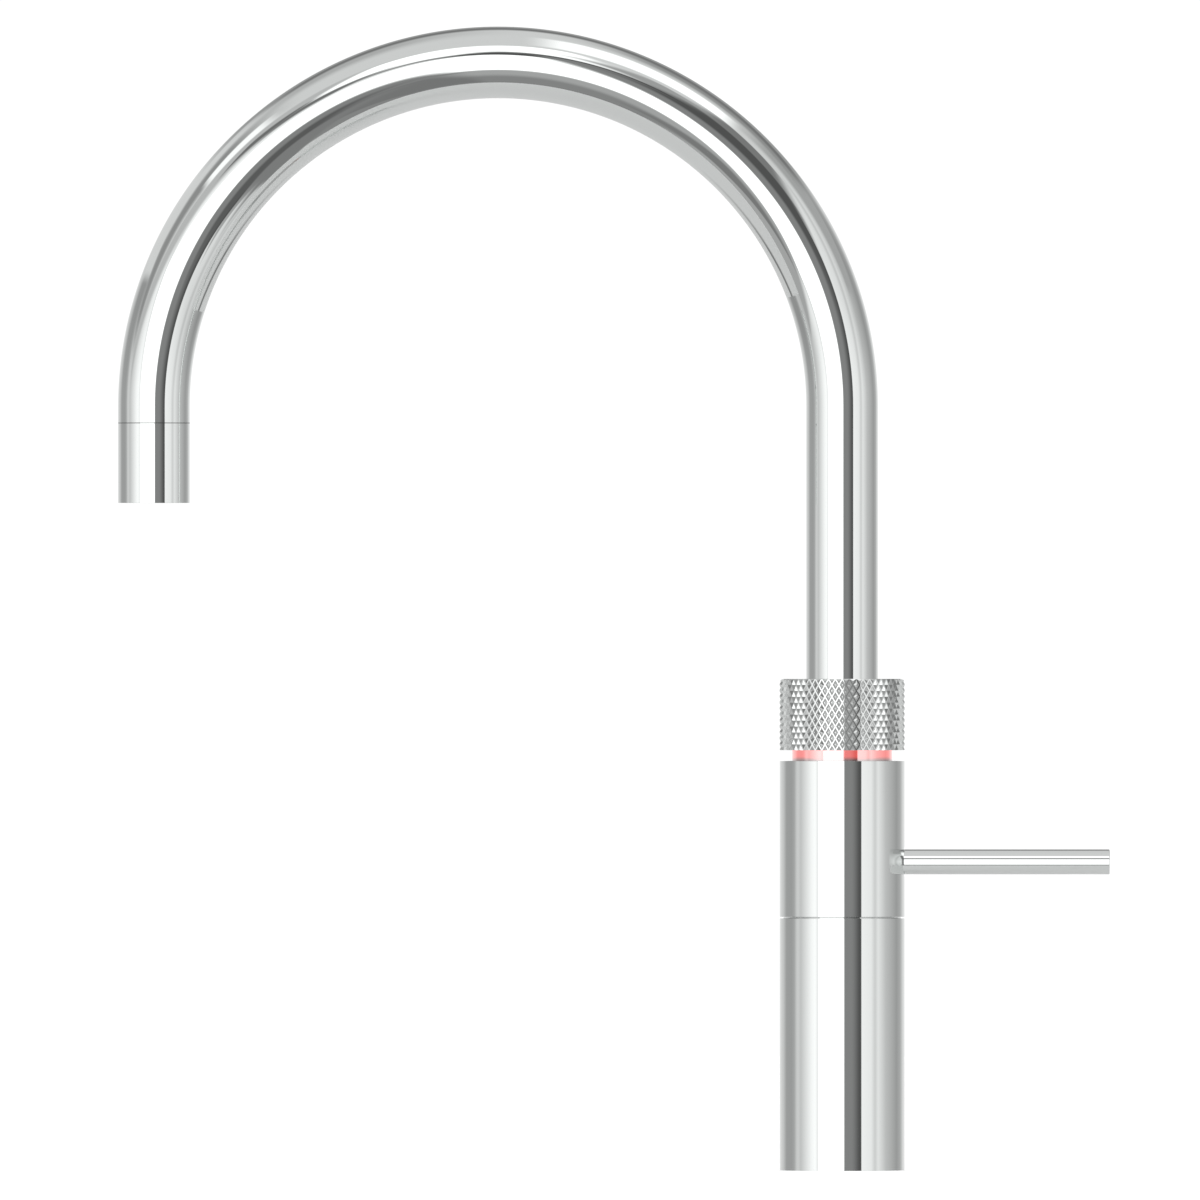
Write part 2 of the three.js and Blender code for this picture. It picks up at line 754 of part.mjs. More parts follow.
function spoutClip() {
  const bore = neckRadius - ringGrooveDepth + ringRelief;
  const outside = neckRadius + 1.6;
  const top = spoutClipBottom + clipHeight;
  const clip = ring(bore, outside, spoutClipBottom, top);
  return cut(clip, [ringSector(bore - 1, outside + 1, -20, 20, spoutClipBottom - 1, top + 1)]);
}

function swivelRing(grooveBottom) {
  const bore = neckRadius - ringGrooveDepth + ringRelief / 2;
  return oRing(bore, neckRadius + looseSlip - ringRelief, grooveBottom + ringGrooveHeight / 2);
}

// Shell of the outlet, with a spigot that goes up into the spout's end.
function nozzle() {
  const grooveFloor = spigotRadius - 0.7;
  const grooveBottom = nozzleTop + spigotHeight / 2 - 0.6;
  return turned([
    [nozzleBore, nozzleBottom], [spoutRadius, nozzleBottom], [spoutRadius, nozzleTop],
    [spigotRadius, nozzleTop], [spigotRadius, grooveBottom], [grooveFloor, grooveBottom],
    [grooveFloor, grooveBottom + 1.2], [spigotRadius, grooveBottom + 1.2],
    [spigotRadius, nozzleTop + spigotHeight], [spigotBore, nozzleTop + spigotHeight],
    [spigotBore, aeratorTop], [nozzleBore, aeratorTop],
  ], roundSides).translate(-spoutReach, 0, 0);
}

function nozzleRing() {
  const grooveFloor = spigotRadius - 0.7;
  const height = nozzleTop + spigotHeight / 2;
  return oRing(grooveFloor + ringRelief / 2, spoutBore - ringRelief, height)
    .translate(-spoutReach, 0, 0);
}

// Outlet insert: a ring of small holes round the boiling water's own hole.
function aerator() {
  const bore = hotTubeRadius + slip;
  const radius = nozzleBore - slip;
  const insert = ring(bore, radius, aeratorBottom, aeratorTop);
  const middle = (bore + radius) / 2;
  const holes = [];
  for (let i = 0; i < aeratorHoleCount; i += 1) {
    const angle = i * 2 * Math.PI / aeratorHoleCount;
    const [x, y] = [middle * Math.cos(angle), middle * Math.sin(angle)];
    holes.push(bar(aeratorHoleRadius, [x, y, aeratorBottom - 1], [x, y, aeratorTop + 1], 6));
  }
  return cut(insert, holes).translate(-spoutReach, 0, 0);
}

// ---------------------------------------------------------------- finishes and assembly

const finishes = {
  chrome: { color: 0xd3d6d6, roughness: 0.06, metalness: 1 },
  brass: { color: 0xc7a254, roughness: 0.32, metalness: 1 },
  steel: { color: 0xa9adb0, roughness: 0.35, metalness: 1 },
  rubber: { color: 0x1c1c1e, roughness: 0.8, metalness: 0 },
  ceramic: { color: 0xf0ece2, roughness: 0.25, metalness: 0 },
  whitePlastic: { color: 0xe9e7e1, roughness: 0.45, metalness: 0 },
  darkPlastic: { color: 0x33363a, roughness: 0.5, metalness: 0 },
  circuit: { color: 0x1f6b3a, roughness: 0.5, metalness: 0 },
  light: { color: 0xffd9d4, roughness: 0.2, metalness: 0, emissive: 0x8c1a12 },
  magnet: { color: 0x6d6f73, roughness: 0.3, metalness: 1 },
};

function piece(name, geometry, finish) {
  const mesh = new THREE.Mesh(geometry, new THREE.MeshStandardMaterial(finishes[finish]));
  mesh.name = name;
  return mesh;
}

function assembly(place, ...pieces) {
  const part = new THREE.Group();
  part.position.set(...place);
  part.add(...pieces);
  return part;
}

function inlet(name, side) {
  const nipple = piece(name, inletNipple(), 'brass');
  nipple.position.x = side * inletOffset;
  return nipple;
}

const clamp = assembly([0, 0, 0],
  piece('threaded_shank', threadedShank(), 'brass'),
  piece('clamp_gasket', clampRing(-deckThickness, gasketHeight), 'rubber'),
  piece('clamp_washer', clampRing(-deckThickness - gasketHeight, washerHeight), 'steel'),
  piece('fixing_nut', fixingNut(), 'brass'),
  inlet('hot_inlet', -1),
  inlet('boiling_inlet', 0),
  inlet('cold_inlet', 1));

const column = assembly([0, 0, 0],
  piece('base_sleeve', baseSleeve(), 'chrome'),
  piece('core_body', coreBody(), 'brass'),
  piece('deck_seal', deckSeal(), 'rubber'),
  piece('sleeve_o_ring', sleeveRing(), 'rubber'),
  piece('glide_washer', glideWasher(), 'chrome'),
  piece('riser_tube', riserTube(), 'steel'),
  piece('mix_disc_fixed', mixDiscFixed(), 'ceramic'),
  piece('cartridge_nut', cartridgeNut(), 'brass'),
  piece('crown', crown(), 'whitePlastic'),
  piece('light_board', lightBoard(), 'circuit'),
  piece('light_ring', lightRing(), 'light'),
  piece('boil_disc_fixed', boilDisc(boilSeat, 25), 'ceramic'),
  piece('swivel_o_ring_lower', swivelRing(ringGrooves[0]), 'rubber'),
  piece('swivel_o_ring_upper', swivelRing(ringGrooves[1]), 'rubber'),
  piece('spout_clip', spoutClip(), 'steel'));

const lever = assembly([leverPivot, 0, leverHeight],
  piece('lever', leverRod(), 'chrome'));

const seat = assembly([leverPivot, 0, leverHeight],
  piece('lever_seat', leverSeat(), 'whitePlastic'));

const mixer = assembly([0, 0, 0],
  piece('mixer_sleeve', mixerSleeve(), 'chrome'),
  piece('mixer_rotor', mixerRotor(), 'whitePlastic'),
  piece('mix_disc_turning', mixDiscTurning(), 'ceramic'),
  piece('flow_spindle', flowSpindle(), 'steel'),
  seat,
  lever);

const knobDrive = assembly([0, 0, 0],
  piece('drive_sleeve', driveSleeve(), 'darkPlastic'),
  piece('drive_pin', drivePin(), 'steel'),
  piece('valve_collar', valveCollar(), 'brass'),
  piece('boil_disc_turning', boilDisc(boilTurningBottom, 35), 'ceramic'),
  piece('knob_clip', knobClip(), 'steel'),
  piece('return_spring', returnSpring(), 'steel'),
  piece('knurled_knob', knurledKnob(), 'chrome'),
  piece('sensor_magnet', magnetBar(magnetRadius, slip, magnetLength), 'magnet'));

const spout = assembly([0, 0, 0],
  piece('spout_tube', spoutTube(), 'chrome'),
  piece('spout_foot', spoutFoot(), 'brass'),
  piece('inner_hot_tube', innerHotTube(), 'steel'),
  piece('nozzle', nozzle(), 'chrome'),
  piece('nozzle_o_ring', nozzleRing(), 'rubber'),
  piece('aerator', aerator(), 'darkPlastic'));

const group = assembly([0, 0, 0], clamp, column, mixer, knobDrive, spout);
export default group;
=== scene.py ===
# %% [markdown]
# # A boiling water tap in polished chrome
#
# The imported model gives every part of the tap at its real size. This script loads it, keeps the
# inner pieces as they are, and makes the visible pieces again with smooth, finely cut surfaces.
# Everything is in metres: +Z is up, the spout points towards -X and the lever towards +X.

# %% Load the frame
import json
import math

import bpy
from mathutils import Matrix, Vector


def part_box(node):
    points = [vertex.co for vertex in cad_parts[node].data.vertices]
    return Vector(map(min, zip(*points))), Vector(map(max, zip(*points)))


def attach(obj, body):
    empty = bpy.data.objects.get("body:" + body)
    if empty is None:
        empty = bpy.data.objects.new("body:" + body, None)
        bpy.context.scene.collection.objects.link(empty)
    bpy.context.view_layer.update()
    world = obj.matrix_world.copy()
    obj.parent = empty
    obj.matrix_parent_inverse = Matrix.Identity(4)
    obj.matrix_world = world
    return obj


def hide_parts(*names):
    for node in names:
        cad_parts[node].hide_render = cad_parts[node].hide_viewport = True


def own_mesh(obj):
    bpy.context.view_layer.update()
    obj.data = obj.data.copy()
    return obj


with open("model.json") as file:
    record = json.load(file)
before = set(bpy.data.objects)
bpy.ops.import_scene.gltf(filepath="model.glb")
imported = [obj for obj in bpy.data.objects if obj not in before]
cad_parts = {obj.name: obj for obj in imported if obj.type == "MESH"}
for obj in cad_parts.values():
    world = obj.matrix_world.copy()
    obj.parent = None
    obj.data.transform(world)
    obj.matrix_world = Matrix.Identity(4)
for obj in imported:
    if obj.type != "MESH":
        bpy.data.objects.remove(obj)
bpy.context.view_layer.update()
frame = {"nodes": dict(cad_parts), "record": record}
MM = 0.001

# %% [markdown]
# ## The camera
#
# The photograph is taken square on, from so far away that no line converges. A camera sixteen
# metres off with a very long lens gives that look. Only the width of the picture and its middle
# have to be chosen: both are real sizes on the tap.

# %% Camera
PICTURE_WIDTH = 383.6 * MM
PICTURE_MIDDLE = (-77.4 * MM, 182.3 * MM)
LENS = 1500
SENSOR = 36
FAR_CLIP = 100

camera_data = bpy.data.cameras.new("camera")
camera_data.lens = LENS
camera_data.sensor_fit = "HORIZONTAL"
camera_data.sensor_width = SENSOR
camera_data.clip_end = FAR_CLIP
camera = bpy.data.objects.new("camera", camera_data)
bpy.context.scene.collection.objects.link(camera)
camera_distance = PICTURE_WIDTH * LENS / SENSOR
camera.location = (PICTURE_MIDDLE[0], -camera_distance, PICTURE_MIDDLE[1])
camera.rotation_euler = (math.pi / 2, 0, 0)
bpy.context.scene.camera = camera
print(f"camera {camera_distance:.2f} m away")

# %% [markdown]
# ## Small helpers for nodes
#
# Materials and the studio are node trees. The first helper adds a node and fills its sockets: a
# socket of another node is wired in, and anything else is set as a plain value. The others make
# the few nodes that come back again and again.

# %% Node helpers
def add_node(tree, kind, values=None, **settings):
    node = tree.nodes.new(kind)
    for name, value in settings.items():
        setattr(node, name, value)
    for key, value in (values or {}).items():
        if isinstance(value, bpy.types.NodeSocket):
            tree.links.new(value, node.inputs[key])
        else:
            node.inputs[key].default_value = value
    return node


def math_node(tree, operation, first, second=0.0, third=0.0):
    values = {0: first, 1: second, 2: third}
    return add_node(tree, "ShaderNodeMath", values, operation=operation).outputs[0]


def map_range(tree, value, start, end, low=0.0, high=1.0, curve="LINEAR"):
    """Takes a value from start..end to low..high, and holds it past both ends."""
    values = {"Value": value, "From Min": start, "From Max": end, "To Min": low, "To Max": high}
    node = add_node(tree, "ShaderNodeMapRange", values, interpolation_type=curve)
    return node.outputs["Result"]


def split_xyz(tree, vector):
    return add_node(tree, "ShaderNodeSeparateXYZ", {0: vector}).outputs


def grey(tree, level):
    return add_node(tree, "ShaderNodeCombineXYZ", {0: level, 1: level, 2: level}).outputs[0]


# %% [markdown]
# ## The studio
#
# Polished chrome has no colour of its own: what it shows is the room. So the room comes first.
# It is a world shader, because a reflection then costs no light samples and has no noise.
#
# The walls are a ramp over the angle round the tap: light in front, dark grey beside and behind
# it, and light again straight at the back. They also get a little darker away from the horizon,
# below it and above it. All brightness values are what the chrome shows. It gives back only a
# share of the light, so the room itself is that much brighter.

# %% Studio walls
CHROME_RETURN = 0.84
BELOW_HORIZON = 0.84
ABOVE_HORIZON = 0.88
DIMMING_STARTS = 0.05
DIMMING_ENDS = 0.24

WALL_STOPS = [
    # degrees round the tap (0 is the camera's side, + is to the right) and brightness
    (-180, 0.84), (-150, 0.60), (-138, 0.52), (-126, 0.33), (-108, 0.32), (-100, 0.37),
    (-93, 0.58), (-89, 0.60), (-83, 0.53), (-70, 0.73), (-58, 0.93), (-51, 1.00), (-46, 0.80),
    (-41, 1.05), (36, 0.86), (55, 0.80), (63, 0.60), (70, 0.76), (88, 0.50), (120, 0.315),
    (135, 0.39), (150, 0.64), (180, 0.84),
]


def wall_ramp(tree, turn):
    ramp = add_node(tree, "ShaderNodeValToRGB", {0: turn})
    stops = ramp.color_ramp.elements
    for index, (degrees, level) in enumerate(WALL_STOPS):
        place = degrees / 360 + 0.5
        stop = stops[index] if index < 2 else stops.new(place)
        stop.position = place
        stop.color = (level, level, level, 1)
    return split_xyz(tree, ramp.outputs["Color"])[0]


def wall_brightness(tree, x, forward, z):
    angle = math_node(tree, "ARCTAN2", x, forward)
    walls = wall_ramp(tree, math_node(tree, "MULTIPLY_ADD", angle, 0.5 / math.pi, 0.5))
    below = map_range(tree, z, -DIMMING_STARTS, -DIMMING_ENDS, 1.0, BELOW_HORIZON)
    above = map_range(tree, z, DIMMING_STARTS, DIMMING_ENDS, 1.0, ABOVE_HORIZON)
    walls = math_node(tree, "MULTIPLY", walls, below)
    return math_node(tree, "MULTIPLY", walls, above)


print(len(WALL_STOPS), "stops round the walls")

# %% [markdown]
# A panel on the ceiling or in front is a soft rectangle. Its sides are given as slopes, sideways
# and upwards, for one metre forward (on the ceiling, sideways and forward for one metre up). A
# panel can be turned on its wall by an angle in degrees, and a later one covers those before it.
#
# The lamps on the ceiling make the highlights on top of the arch, and the dim places between
# them make its grey shades.

# %% Ceiling panels
CEILING_PANELS = [
    # name, brightness, left, right, near, far, softness, turn
    ("ceiling", 0.60, -1.9, 1.3, -1.00, 0.85, 0.25, 0),
    ("dim left of the middle", 0.40, -0.78, -0.12, -1.60, -0.20, 0.25, 0),
    ("dim right of the ceiling", 0.36, 0.90, 3.0, -1.0, 0.22, 0.20, 0),
    ("dim left of the ceiling", 0.26, -9.0, -0.85, -0.38, 0.45, 0.25, 0),
    ("light left back", 0.62, -2.7, -0.92, -9.0, -0.52, 0.18, 0),
    ("right lamp", 1.15, 0.14, 0.80, -0.08, 0.56, 0.08, 0),
    ("left lamp", 1.00, -1.30, -0.80, 0.14, 0.62, 0.08, 0),
    ("dark right back", 0.27, 0.32, 1.3, -1.60, -0.33, 0.20, 0),
    ("dim back of the ceiling", 0.30, -1.1, 1.4, -3.6, -1.30, 0.25, 0),
    ("dark back of the ceiling", 0.17, -0.74, 1.3, -1.50, -0.78, 0.18, 0),
]
print(len(CEILING_PANELS), "panels on the ceiling")

# %% [markdown]
# The long soft window in front of the tap makes the broad white stripe, and a dark flag to its
# right makes the dark stripe beside it. The wing of the flag, the bar above the window and the
# room below the table give the arch its dark lines and shadows.

# %% Front panels
SHARP = 0.025

FRONT_PANELS = [
    # name, brightness, left, right, low, high, softness (or one for each side), turn
    ("foot of the left wall", 0.36, -6.0, -0.70, -2.6, -0.31, 0.10, 9),
    ("room below the table", 0.36, -1.10, 0.95, -9.0, -0.46, 0.05, 0),
    ("dark room below", 0.225, -1.20, 1.50, -9.0, -0.92, 0.22, 0),
    ("dark corner on the left", 0.185, -1.40, -0.56, -1.40, -0.62, 0.10, 0),
    ("haze on the left", 0.46, -9.0, -0.36, 0.60, 1.50, 0.15, 0),
    ("high window", 1.20, -0.52, 0.31, 0.60, 1.40, 0.07, 0),
    ("flag's wing", 0.185, 0.40, 2.20, -0.21, 0.30, 0.12, 45),
    ("wing's upper side", 0.33, 0.70, 1.35, 0.22, 0.50, 0.09, 45),
    ("flag's foot", 0.175, 0.09, 0.62, -2.20, -0.42, 0.05, 0),
    ("foot of the wing", 0.195, 0.60, 2.90, -0.36, 0.10, 0.08, -45),
    ("window", 1.30, -1.00, 0.07, -0.44, 0.43, 0.03, 0),
    ("left end of the bar", 0.15, -1.25, -0.74, 0.44, 0.64, 0.05, -20),
    ("middle of the bar", 0.16, -0.76, -0.42, 0.385, 0.57, 0.05, -20),
    ("thin stretch of the bar", 0.22, -0.44, -0.24, 0.43, 0.52, 0.04, -20),
    ("right end of the bar", 0.15, -0.26, 0.35, 0.44, 0.64, 0.05, -20),
    ("dark line above the window", 0.06, -0.25, 0.30, 0.425, 0.535, 0.03, -20),
    ("top of the flag", 0.08, 0.05, 0.40, 0.44, 0.64, 0.04, 0),
    ("flag", 0.215, 0.06, 0.71, -0.56, 0.56, SHARP, 0),
    ("flag's darker side", 0.075, 0.47, 0.71, -0.56, 0.56, (0.20, SHARP, 0.06, 0.06), 0),
    ("root of the wing", 0.08, 0.42, 1.05, -0.22, 0.22, 0.09, 45),
    ("lower root of the flag", 0.10, 0.38, 0.74, -0.20, 0.17, 0.08, -45),
]
print(len(FRONT_PANELS), "panels in front")

# %% [markdown]
# A panel is laid by its mask, which is 1 on the panel and 0 beside it: four soft edges multiplied
# together. The brightness so far is then moved towards the panel's own by that mask.

# %% Panel helpers
def edge(tree, value, place, softness):
    return map_range(tree, value, place - softness, place + softness, curve="SMOOTHSTEP")


def panel_mask(tree, across, up, facing, left, right, low, high, softness):
    soft = softness if isinstance(softness, tuple) else (softness,) * 4
    mask = facing
    for value, start, end, soft_in, soft_out in ((across, left, right, *soft[:2]),
                                                 (up, low, high, *soft[2:])):
        mask = math_node(tree, "MULTIPLY", mask, edge(tree, value, start, soft_in))
        past = math_node(tree, "SUBTRACT", 1.0, edge(tree, value, end, soft_out))
        mask = math_node(tree, "MULTIPLY", mask, past)
    return mask


def turned_slopes(tree, across, up, turn):
    cosine, sine = math.cos(math.radians(turn)), math.sin(math.radians(turn))
    along = math_node(tree, "MULTIPLY_ADD", up, sine, math_node(tree, "MULTIPLY", across, cosine))
    aside = math_node(tree, "MULTIPLY_ADD", up, cosine, math_node(tree, "MULTIPLY", across, -sine))
    return along, aside


def lay_panels(tree, brightness, panels, across, up, facing):
    for _, level, left, right, low, high, softness, turn in panels:
        along, aside = turned_slopes(tree, across, up, turn) if turn else (across, up)
        mask = panel_mask(tree, along, aside, facing, left, right, low, high, softness)
        step = math_node(tree, "SUBTRACT", level, brightness)
        brightness = math_node(tree, "MULTIPLY_ADD", step, mask, brightness)
    return brightness


# %% [markdown]
# Slopes grow without end where a direction runs along a wall, so the way to the wall is never
# taken as shorter than a small value. The camera itself sees plain white instead of the room.

# %% Studio world
CEILING_EDGE = 0.19
CEILING_SOFTNESS = 0.09
LEAST_UP = 0.1
LEAST_FORWARD = 0.02
BACKDROP_WHITE = 1.05


def slopes(tree, first, second, away, least):
    distance = math_node(tree, "MAXIMUM", away, least)
    return [math_node(tree, "DIVIDE", value, distance) for value in (first, second)]


def studio_world():
    world = bpy.data.worlds.new("studio")
    world.use_nodes = True
    tree = world.node_tree
    tree.nodes.clear()
    x, y, z = split_xyz(tree, add_node(tree, "ShaderNodeTexCoord").outputs["Generated"])
    forward = math_node(tree, "MULTIPLY", y, -1.0)
    level = wall_brightness(tree, x, forward, z)

    above = edge(tree, z, CEILING_EDGE, CEILING_SOFTNESS)
    sideways, outwards = slopes(tree, x, forward, z, LEAST_UP)
    level = lay_panels(tree, level, CEILING_PANELS, sideways, outwards, above)

    front = math_node(tree, "GREATER_THAN", forward, LEAST_FORWARD)
    sideways, upwards = slopes(tree, x, z, forward, LEAST_FORWARD)
    level = lay_panels(tree, level, FRONT_PANELS, sideways, upwards, front)

    room = add_node(tree, "ShaderNodeBackground", {
        "Color": grey(tree, level), "Strength": 1 / CHROME_RETURN})
    backdrop = add_node(tree, "ShaderNodeBackground", {
        "Color": (1, 1, 1, 1), "Strength": BACKDROP_WHITE})
    from_camera = add_node(tree, "ShaderNodeLightPath").outputs["Is Camera Ray"]
    seen = add_node(tree, "ShaderNodeMixShader", {
        0: from_camera, 1: room.outputs[0], 2: backdrop.outputs[0]})
    add_node(tree, "ShaderNodeOutputWorld", {"Surface": seen.outputs[0]})
    return world


bpy.context.scene.world = studio_world()
bpy.context.scene.view_settings.view_transform = "Standard"
print("studio of", len(bpy.context.scene.world.node_tree.nodes), "nodes")

# %% [markdown]
# ## Selecting and modelling by hand
#
# The operators work on what is selected, and loading the model leaves all of it selected. So each
# piece starts with nothing selected. A piece ends with its place, turn and size moved into its
# mesh, because the export expects every object at the origin.

# %% Selecting and settling
def clear_selection():
    if bpy.context.object and bpy.context.object.mode != "OBJECT":
        bpy.ops.object.mode_set(mode="OBJECT")
    bpy.ops.object.select_all(action="DESELECT")


def activate(piece):
    clear_selection()
    piece.select_set(True)
    bpy.context.view_layer.objects.active = piece


def settle(piece):
    """Moves a piece's place, turn and size into its mesh."""
    activate(piece)
    bpy.ops.object.transform_apply(location=True, rotation=True, scale=True)


# %% [markdown]
# Most pieces of a tap are turned on a lathe, and a lathe is easy to copy: a circle is extruded
# from ring to ring along the profile, and scaled to the next radius each time. The last ring
# meets the first one and is merged with it.

# %% Lathe helpers
MERGE_DISTANCE = 1e-7


def start_circle(name, sides, radius, place, turn=(0, 0, 0)):
    clear_selection()
    bpy.ops.mesh.primitive_circle_add(vertices=sides, radius=radius, location=place, rotation=turn)
    piece = bpy.context.object
    piece.name = name
    settle(piece)
    return piece


def edit_all():
    bpy.ops.object.mode_set(mode="EDIT")
    bpy.ops.mesh.select_all(action="SELECT")


def extrude_up(distance):
    bpy.ops.mesh.extrude_region_move(TRANSFORM_OT_translate={"value": (0, 0, distance)})


def merge_corners():
    bpy.ops.mesh.select_all(action="SELECT")
    bpy.ops.mesh.remove_doubles(threshold=MERGE_DISTANCE)


def face_outwards():
    """Turns all faces outwards and leaves edit mode."""
    bpy.ops.mesh.select_all(action="SELECT")
    bpy.ops.mesh.normals_make_consistent(inside=False)
    bpy.ops.object.mode_set(mode="OBJECT")


def turned(name, profile, sides, ends="joined"):
    """A turned piece about the Z axis from (radius, height) points.

    Its first and last rings are joined to each other, capped, or left open.
    """
    radius, height = profile[0]
    piece = start_circle(name, sides, radius, (0, 0, height))
    edit_all()
    for next_radius, next_height in profile[1:] + (profile[:1] if ends == "joined" else []):
        extrude_up(next_height - height)
        grow = next_radius / radius
        bpy.ops.transform.resize(value=(grow, grow, 1), center_override=(0, 0, 0))
        radius, height = next_radius, next_height
    merge_corners()
    if ends == "capped":
        bpy.ops.mesh.fill_holes(sides=0)
    face_outwards()
    return piece


def tube_profile(radius, bore, bottom, top):
    return [(radius, bottom), (radius, top), (bore, top), (bore, bottom)]


# %% [markdown]
# A real edge is never perfectly sharp, and its small rounding is what catches the light. The
# bevel modifier gives it. Weighted normals then keep the long faces flat in the shading, because
# chrome shows the smallest dent. What two solids have in common, or what is left of one of them,
# is found by the boolean modifier, and a drill is a cylinder used in that way.

# %% Finishing helpers
def apply_modifier(piece, kind, **settings):
    activate(piece)
    modifier = piece.modifiers.new(kind.lower(), kind)
    for name, value in settings.items():
        setattr(modifier, name, value)
    bpy.ops.object.modifier_apply(modifier=modifier.name)


def ease_edges(piece, width, segments=3, angle=35):
    """Rounds the sharp edges a little and keeps long faces flat in the shading."""
    if width:
        apply_modifier(piece, "BEVEL", width=width, segments=segments, limit_method="ANGLE",
                       angle_limit=math.radians(angle), use_clamp_overlap=True)
    activate(piece)
    bpy.ops.object.shade_smooth_by_angle(angle=math.radians(angle))
    apply_modifier(piece, "WEIGHTED_NORMAL", keep_sharp=True)


def combine(piece, other, operation):
    """Cuts a piece with another one, which is used up by it."""
    apply_modifier(piece, "BOOLEAN", operation=operation, object=other, solver="EXACT")
    bpy.data.objects.remove(other)


def drill(piece, radius, length, place, turn, sides):
    clear_selection()
    bpy.ops.mesh.primitive_cylinder_add(
        vertices=sides, radius=radius, depth=length, location=place, rotation=turn)
    combine(piece, bpy.context.object, "DIFFERENCE")


def dress(piece, material, body, slot, *nodes):
    """Gives a finished piece its material and its body, and hides the nodes that it stands for."""
    piece.data.materials.clear()
    piece.data.materials.append(material)
    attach(piece, body)
    if nodes:
        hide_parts(*nodes)
    print(f"{piece.name}: {len(piece.data.polygons)} faces on {body}")


# %% [markdown]
# ## Finishes
#
# A finish starts from one shader. Soft noise in Object coordinates then varies its tone, its
# gloss and its relief, because nothing real is the same all over.

# %% Finish helpers
RELIEF_STRENGTH = 0.3


def new_material(name):
    material = bpy.data.materials.new(name)
    material.use_nodes = True
    tree = material.node_tree
    tree.nodes.clear()
    shader = add_node(tree, "ShaderNodeBsdfPrincipled")
    add_node(tree, "ShaderNodeOutputMaterial", {"Surface": shader.outputs[0]})
    return material, tree, shader


def swap_surface(tree, shader, factor, other):
    """Shows another shader instead of the material's own where the factor is 1."""
    mix = add_node(tree, "ShaderNodeMixShader", {0: factor, 1: shader.outputs[0], 2: other})
    output = next(node for node in tree.nodes if node.type == "OUTPUT_MATERIAL")
    tree.links.new(mix.outputs[0], output.inputs["Surface"])


def noise(tree, scale, detail=3.0, stretch=(1, 1, 1)):
    place = add_node(tree, "ShaderNodeTexCoord").outputs["Object"]
    mapped = add_node(tree, "ShaderNodeMapping", {"Vector": place, "Scale": stretch})
    values = {"Vector": mapped.outputs[0], "Scale": scale, "Detail": detail}
    return add_node(tree, "ShaderNodeTexNoise", values).outputs[0]


def vary_gloss(tree, shader, pattern, rough):
    roughness = map_range(tree, pattern, 0.0, 1.0, *rough)
    tree.links.new(roughness, shader.inputs["Roughness"])


def tones(tree, value, dark, light):
    ramp = add_node(tree, "ShaderNodeValToRGB", {0: value})
    ramp.color_ramp.elements[0].color = (*dark, 1)
    ramp.color_ramp.elements[1].color = (*light, 1)
    return ramp.outputs["Color"]


def bump(tree, shader, height, strength, distance):
    values = {"Height": height, "Strength": strength, "Distance": distance}
    node = add_node(tree, "ShaderNodeBump", values)
    tree.links.new(node.outputs["Normal"], shader.inputs["Normal"])


def surface(name, dark, light, rough, metallic=0.0, grain=400, stretch=(1, 1, 1), depth=0.02):
    """A material whose tone, gloss and fine relief all follow one noise."""
    material, tree, shader = new_material(name)
    pattern = noise(tree, grain, stretch=stretch)
    tree.links.new(tones(tree, pattern, dark, light), shader.inputs["Base Color"])
    vary_gloss(tree, shader, pattern, rough)
    shader.inputs["Metallic"].default_value = metallic
    bump(tree, shader, pattern, RELIEF_STRENGTH, depth * MM)
    return material


# %% [markdown]
# Chrome is a mirror with a very small roughness. Real plating is never perfect: its gloss changes
# a little from place to place, and its surface is wavy by a hair, so both get a soft noise. The
# knurl is a little duller than the rest, because its small flanks are hard to polish.

# %% Chrome
CHROME_TONE = (0.825, 0.845, 0.836)
GLOSS_GRAIN = 60
WAVE_GRAIN = 45
WAVE_STRENGTH = 0.04
WAVE_HEIGHT = 0.02 * MM
POLISHED = (0.02, 0.045)
KNURLED = (0.04, 0.09)


def chrome_finish(name, rough):
    material, tree, shader = new_material(name)
    shader.inputs["Base Color"].default_value = (*CHROME_TONE, 1)
    shader.inputs["Metallic"].default_value = 1.0
    vary_gloss(tree, shader, noise(tree, GLOSS_GRAIN, detail=4), rough)
    bump(tree, shader, noise(tree, WAVE_GRAIN, detail=1), WAVE_STRENGTH, WAVE_HEIGHT)
    return material, tree, shader


chrome, _, _ = chrome_finish("polished_chrome", POLISHED)
knurl_chrome, knurl_tree, knurl_shader = chrome_finish("knurl_chrome", KNURLED)
print("finishes:", chrome.name, "and", knurl_chrome.name)

# %% [markdown]
# Two flanks of the knurl that face each other make a right angle, and such a pair sends the
# window straight back, so the knob would turn plain white. In the photograph the flanks stay a
# calm grey, so a ray that comes from another mirror sees the knurl as an even grey.

# %% Knurl seen in its own flanks
# Painted reflection: a ray that has already bounced off a mirror gets a flat grey glow from the
# knurl instead of the chrome's own reflection.
PAINTED_FLANK_REFLECTION = 0.40

bounce = add_node(knurl_tree, "ShaderNodeLightPath").outputs["Glossy Depth"]
from_mirror = math_node(knurl_tree, "GREATER_THAN", bounce, 0.5)
painted_reflection = add_node(knurl_tree, "ShaderNodeEmission", {"Color": (PAINTED_FLANK_REFLECTION,) * 3 + (1,)})
swap_surface(knurl_tree, knurl_shader, from_mirror, painted_reflection.outputs[0])
print("flanks seen in a mirror:", PAINTED_FLANK_REFLECTION)

# %% [markdown]
# The light ring is a polished ring that glows red from behind. Where the studio is bright the
# reflection hides the glow, and where it is dark the red shows, so it needs both at once: a
# mirror-like surface and a red emission. At the sleeve there is no glow yet, and it grows to its
# full strength within two millimetres.

# %% Light ring
RING_TONE = (0.75, 0.665, 0.66)
RING_GLOW = (1.0, 0.07, 0.055)
RING_GRAIN = 80
RING_ROUGHNESS = (0.06, 0.12)
GLOW_STRENGTH = 0.66
GLOW_FADE = 1.7 * MM

